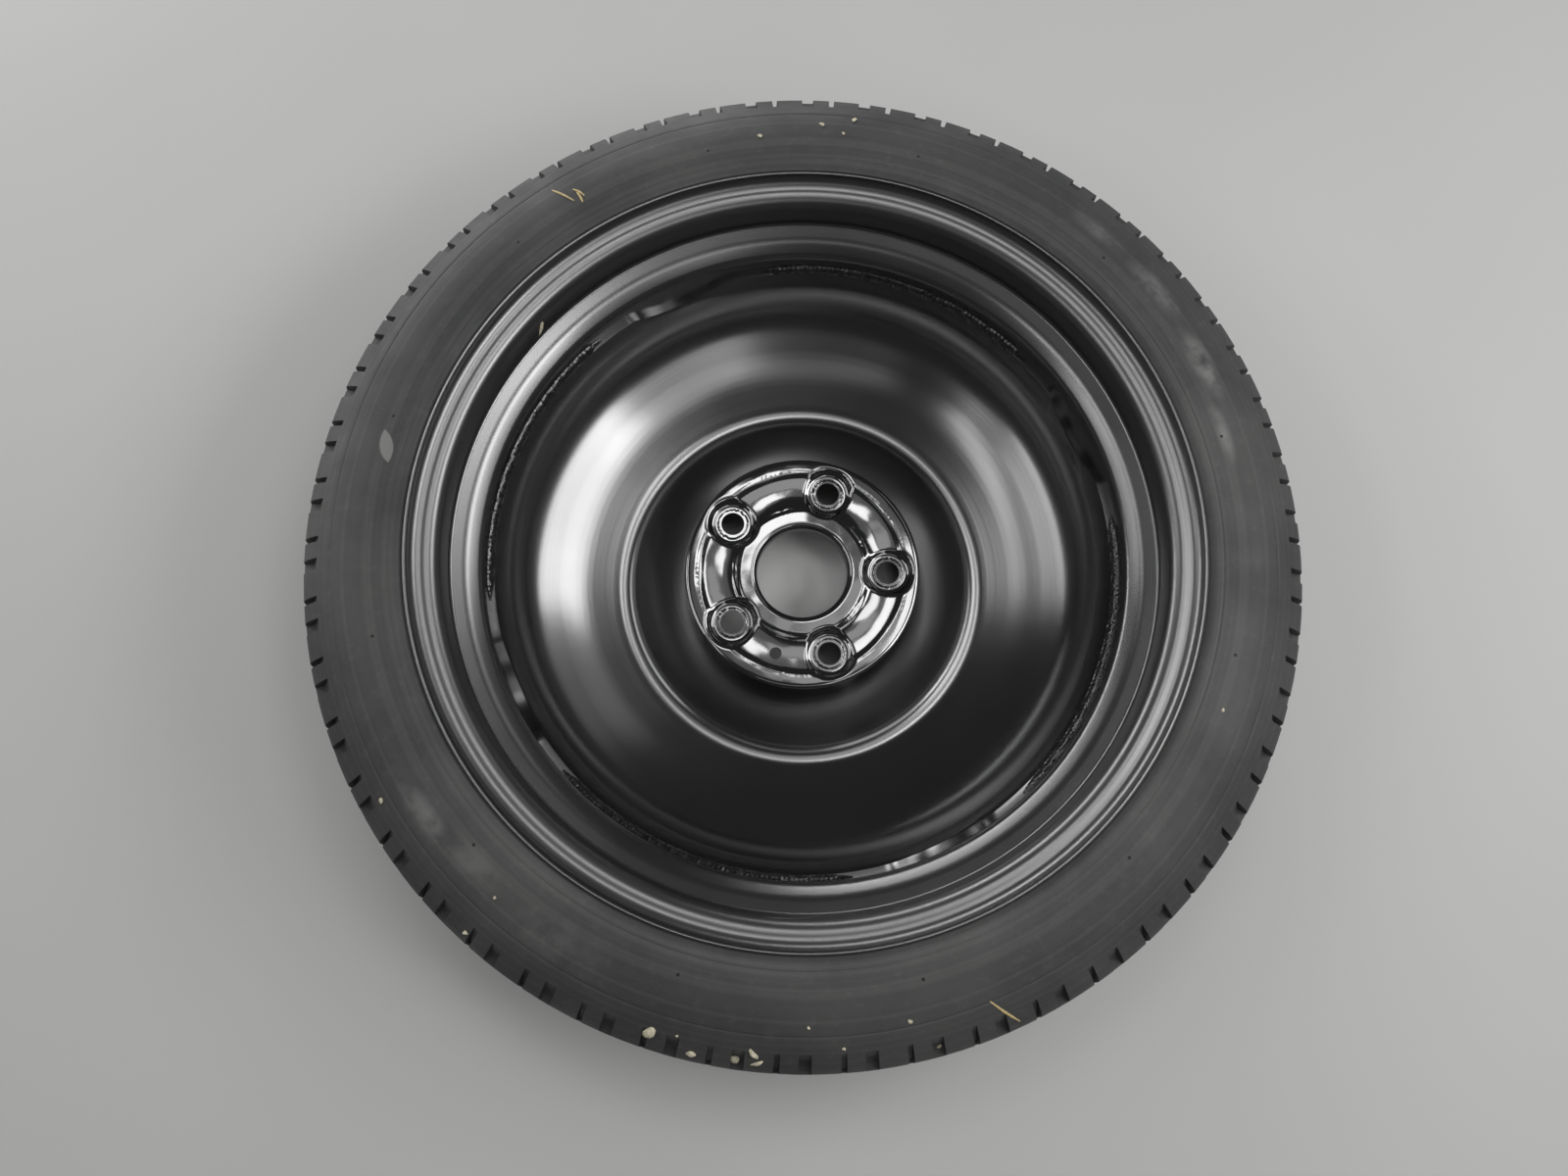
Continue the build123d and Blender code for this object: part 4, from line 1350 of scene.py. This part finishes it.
class SPAREWHEEL_OT_dirt(bpy.types.Operator):
    """Lay the bits of straw and the crumbs on the tyre and in the rim"""

    bl_idname = "spare_wheel.dirt"
    bl_label = "Dirt"

    seed = 7
    # Just under the tyre's widest ring
    ceiling = CAD_BOX[1].z - 0.00003
    # The crumb in the rim: its angle, height, length and width
    rim_angle, rim_height, rim_crumb = radians(140), 0.074, (0.010, 0.0022)
    straw_width, straw_height, straw_sway = 0.0014, 0.0006, 0.0006
    # Share of a straw's full size at its ends, and where on its taper they lie
    straw_end, straw_taper = 0.35, 0.08
    crumb_height, crumb_lift, lump_size, lump_waves = 0.35, 0.4, 0.16, 2.5

    def execute(self, context):
        colours = context.scene.spare_wheel_finishes
        rng = np.random.default_rng(self.seed)
        straw, grit = Shape(), Shape()
        for bit in STRAWS:
            self.lay_straw(straw, bit, rng)
        for radius, angle, length, width in CRUMBS:
            place, normal = self.on_tyre(radius, radians(angle))
            self.lay_crumb(grit, place, normal, (length, width), rng)
        rim = bpy.data.objects["rim_shell"]
        _, place, normal, _ = rim.ray_cast(Vector((0, 0, self.rim_height)), polar(1, self.rim_angle, 0))
        self.lay_crumb(grit, place, normal, self.rim_crumb, rng)
        settle(straw.build("straw_bits"), plain_finish("dry_straw", colours.straw, 0.5, 0.7, 400.0))
        settle(grit.build("grit_bits"), plain_finish("pale_grit", colours.grit, 0.7, 0.9, 500.0))
        return {"FINISHED"}

    def on_tyre(self, radius, angle):
        """Place and normal of the tyre's upper side at a radius and angle."""
        tyre = bpy.data.objects["tyre_casing"]
        _, place, normal, _ = tyre.ray_cast(polar(radius, angle, 2 * CAD_BOX[1].z), Vector((0, 0, -1)))
        return place, normal

    def under_ceiling(self, points):
        """The points, none higher than the tyre's widest ring."""
        return [(x, y, min(z, self.ceiling)) for x, y, z in points]

    def lay_straw(self, shape, bit, rng):
        """A flat, slightly bent stalk that tapers to its two ends."""
        steps, sides = 10, 6
        half_width, half_height = self.straw_width / 2, self.straw_height / 2
        sway = rng.uniform(-self.straw_sway, self.straw_sway)
        ends = [np.array((r * cos(radians(a)), r * sin(radians(a)))) for r, a in (bit[:2], bit[2:])]
        along = (ends[1] - ends[0]) / np.linalg.norm(ends[1] - ends[0])
        across = np.array((-along[1], along[0]))
        rings = []
        for k in range(steps + 1):
            share = k / steps
            flat = ends[0] + (ends[1] - ends[0]) * share + across * sway * sin(pi * share)
            place, _ = self.on_tyre(np.hypot(*flat), atan2(flat[1], flat[0]))
            taper = self.straw_taper + (1 - 2 * self.straw_taper) * share
            size = self.straw_end + (1 - self.straw_end) * sin(pi * taper)
            row = []
            for m in range(sides):
                lean = 2 * pi * m / sides
                x, y = flat + across * half_width * size * cos(lean)
                row.append((x, y, place.z + half_height * size * (1 + sin(lean))))
            rings.append(shape.row(self.under_ceiling(row)))
        shape.skin(rings, capped=True)

    def lay_crumb(self, shape, place, normal, size, rng):
        """A rough lump, flattened and sunk a little into the surface."""
        work = bmesh.new()
        bmesh.ops.create_icosphere(work, subdivisions=2, radius=1.0)
        scale = Vector((size[0] / 2, size[1] / 2, self.crumb_height * size[1]))
        turn = normal.to_track_quat("Z", "Y").to_matrix() @ Matrix.Rotation(rng.uniform(0, pi), 3, "Z")
        lumps = rng.normal(size=(3, 3))
        points = []
        for vert in work.verts:
            waves = [sin(self.lump_waves * vert.co.dot(Vector(lump))) for lump in lumps]
            swell = 1 + self.lump_size * sum(waves)
            shaped = Vector(a * b for a, b in zip(vert.co, scale)) * swell
            points.append(place + turn @ (shaped + Vector((0, 0, self.crumb_lift * scale.z))))
        rows = shape.row(self.under_ceiling(points))
        shape.faces += [tuple(rows[v.index] for v in face.verts) for face in work.faces]
        work.free()


# Stage

# Softboxes: name, (azimuth, elevation, distance), (width, height), setting, share of that setting and slant
SOFTBOXES = (
    ("key", (0, 42, 1.5), (1.15, 0.44), "key", 1, -14),
    ("key_front", (-43, 51, 1.5), (1.0, 0.36), "key", 0.28, -5),
    ("key_back", (38, 35, 1.5), (0.7, 0.42), "key", 0.09, -10),
    ("key_high", (16, 70, 1.7), (0.7, 0.36), "key", 0.8, 0),
    ("front", (-90, 57, 1.6), (1.0, 0.2), "key", 0.12, 0),
    ("fill_low", (178, 38, 1.5), (0.95, 0.15), "fill", 0.95, 13),
    ("fill_high", (184, 53, 1.5), (1.1, 0.2), "fill", 0.72, 3),
    ("back", (126, 9.5, 1.5), (2.5, 0.38), "back", 1, 0),
    ("top", (90, 81, 1.9), (1.2, 1.2), "top", 1, 0),
    ("pad", (35, 84, 1.9), (0.5, 0.5), "top", 3, 0),
    ("spark", (102, 72, 1.7), (0.34, 0.34), "spark", 1, 0),
)


class SPAREWHEEL_OT_stage(bpy.types.Operator):
    """Build the floor, the lights and the camera"""

    bl_idname = "spare_wheel.stage"
    bl_label = "Stage"

    def execute(self, context):
        scene = context.scene
        settings = scene.spare_wheel_stage
        self.floor(scene.spare_wheel_finishes.floor)
        for name, place, size, setting, share, slant in SOFTBOXES:
            self.softbox(name, place, size, share * getattr(settings, setting), slant)
        self.surroundings(settings.ambient)
        self.camera(settings)
        scene.view_settings.view_transform = "Standard"
        return {"FINISHED"}

    def floor(self, colour):
        """A wide pale floor just under the wheel."""
        shape = Shape()
        reach, height = 4.0, CAD_BOX[0].z
        corners = ((-reach, -reach), (reach, -reach), (reach, reach), (-reach, reach))
        shape.faces.append(shape.row((x, y, height) for x, y in corners))
        mesh = bpy.data.meshes.new("floor")
        mesh.from_pydata(shape.verts, [], shape.faces)
        floor = show("floor", mesh)
        finish = Finish("floor_finish", Roughness=0.8, Specular_IOR_Level=0.2)
        shade = finish.span(finish.noise(3.0, 2.0), 0.3, 0.7)
        finish.feed("Base Color", finish.blend(shade, darker(colour, 0.97), colour))
        paint_with(floor, finish.material)

    def softbox(self, name, place, size, brightness, slant):
        """An area light that faces the hub, placed by its azimuth, elevation and distance."""
        light = bpy.data.lights.new(name, "AREA")
        light.shape = "RECTANGLE"
        light.size, light.size_y = size
        light.energy = brightness * pi * size[0] * size[1]
        lamp = show(name, light)
        around, rise = radians(place[0]), radians(place[1])
        back = polar(cos(rise), around, sin(rise))
        along = polar(1, around + pi / 2, 0)
        lamp.matrix_world = axes_at(back * place[2], along, back, radians(slant))

    def surroundings(self, strength):
        """Even grey light from all sides."""
        world = bpy.data.worlds.new("studio")
        bpy.context.scene.world = world
        world.use_nodes = True
        back = world.node_tree.nodes["Background"]
        back.inputs["Color"].default_value = (1, 1, 1, 1)
        back.inputs["Strength"].default_value = strength

    def camera(self, settings):
        """The camera at the photograph's place."""
        camera = bpy.data.cameras.new("camera")
        camera.lens = settings.lens
        camera.sensor_width = 36.0
        holder = show("camera", camera)
        back = -Vector(settings.camera_aim).normalized()
        right = Vector((0, 1, 0)).cross(back).normalized()
        holder.matrix_world = axes_at(settings.camera_place, right, back, settings.camera_roll)
        bpy.context.scene.camera = holder


class SPAREWHEEL_PT_panel(bpy.types.Panel):
    """The wheel's pieces, in the 3D view's sidebar"""

    bl_label = "Spare Wheel"
    bl_idname = "SPAREWHEEL_PT_panel"
    bl_space_type = "VIEW_3D"
    bl_region_type = "UI"
    bl_category = "Spare Wheel"

    def draw(self, context):
        for operator in OPERATORS:
            self.layout.operator(operator.bl_idname)


SETTINGS = {
    "spare_wheel_rim": RimSizes,
    "spare_wheel_disc": DiscSizes,
    "spare_wheel_tyre": TyreSizes,
    "spare_wheel_valve": ValveSizes,
    "spare_wheel_finishes": Finishes,
    "spare_wheel_stage": StageSettings,
}
OPERATORS = (
    SPAREWHEEL_OT_rim,
    SPAREWHEEL_OT_disc,
    SPAREWHEEL_OT_welds,
    SPAREWHEEL_OT_tyre,
    SPAREWHEEL_OT_valve,
    SPAREWHEEL_OT_dirt,
    SPAREWHEEL_OT_stage,
)
CLASSES = (*SETTINGS.values(), *OPERATORS, SPAREWHEEL_PT_panel)


def register():
    """Register the classes and hang their settings on the scene."""
    for item in CLASSES:
        bpy.utils.register_class(item)
    for name, group in SETTINGS.items():
        setattr(bpy.types.Scene, name, PointerProperty(type=group))


def unregister():
    """Take the settings and the classes away again."""
    for name in SETTINGS:
        delattr(bpy.types.Scene, name)
    for item in reversed(CLASSES):
        bpy.utils.unregister_class(item)


def main():
    """Build every piece."""
    register()
    bpy.ops.spare_wheel.rim()
    bpy.ops.spare_wheel.disc()
    bpy.ops.spare_wheel.welds()
    bpy.ops.spare_wheel.tyre()
    bpy.ops.spare_wheel.valve()
    bpy.ops.spare_wheel.dirt()
    bpy.ops.spare_wheel.stage()


if __name__ == "__main__":
    main()
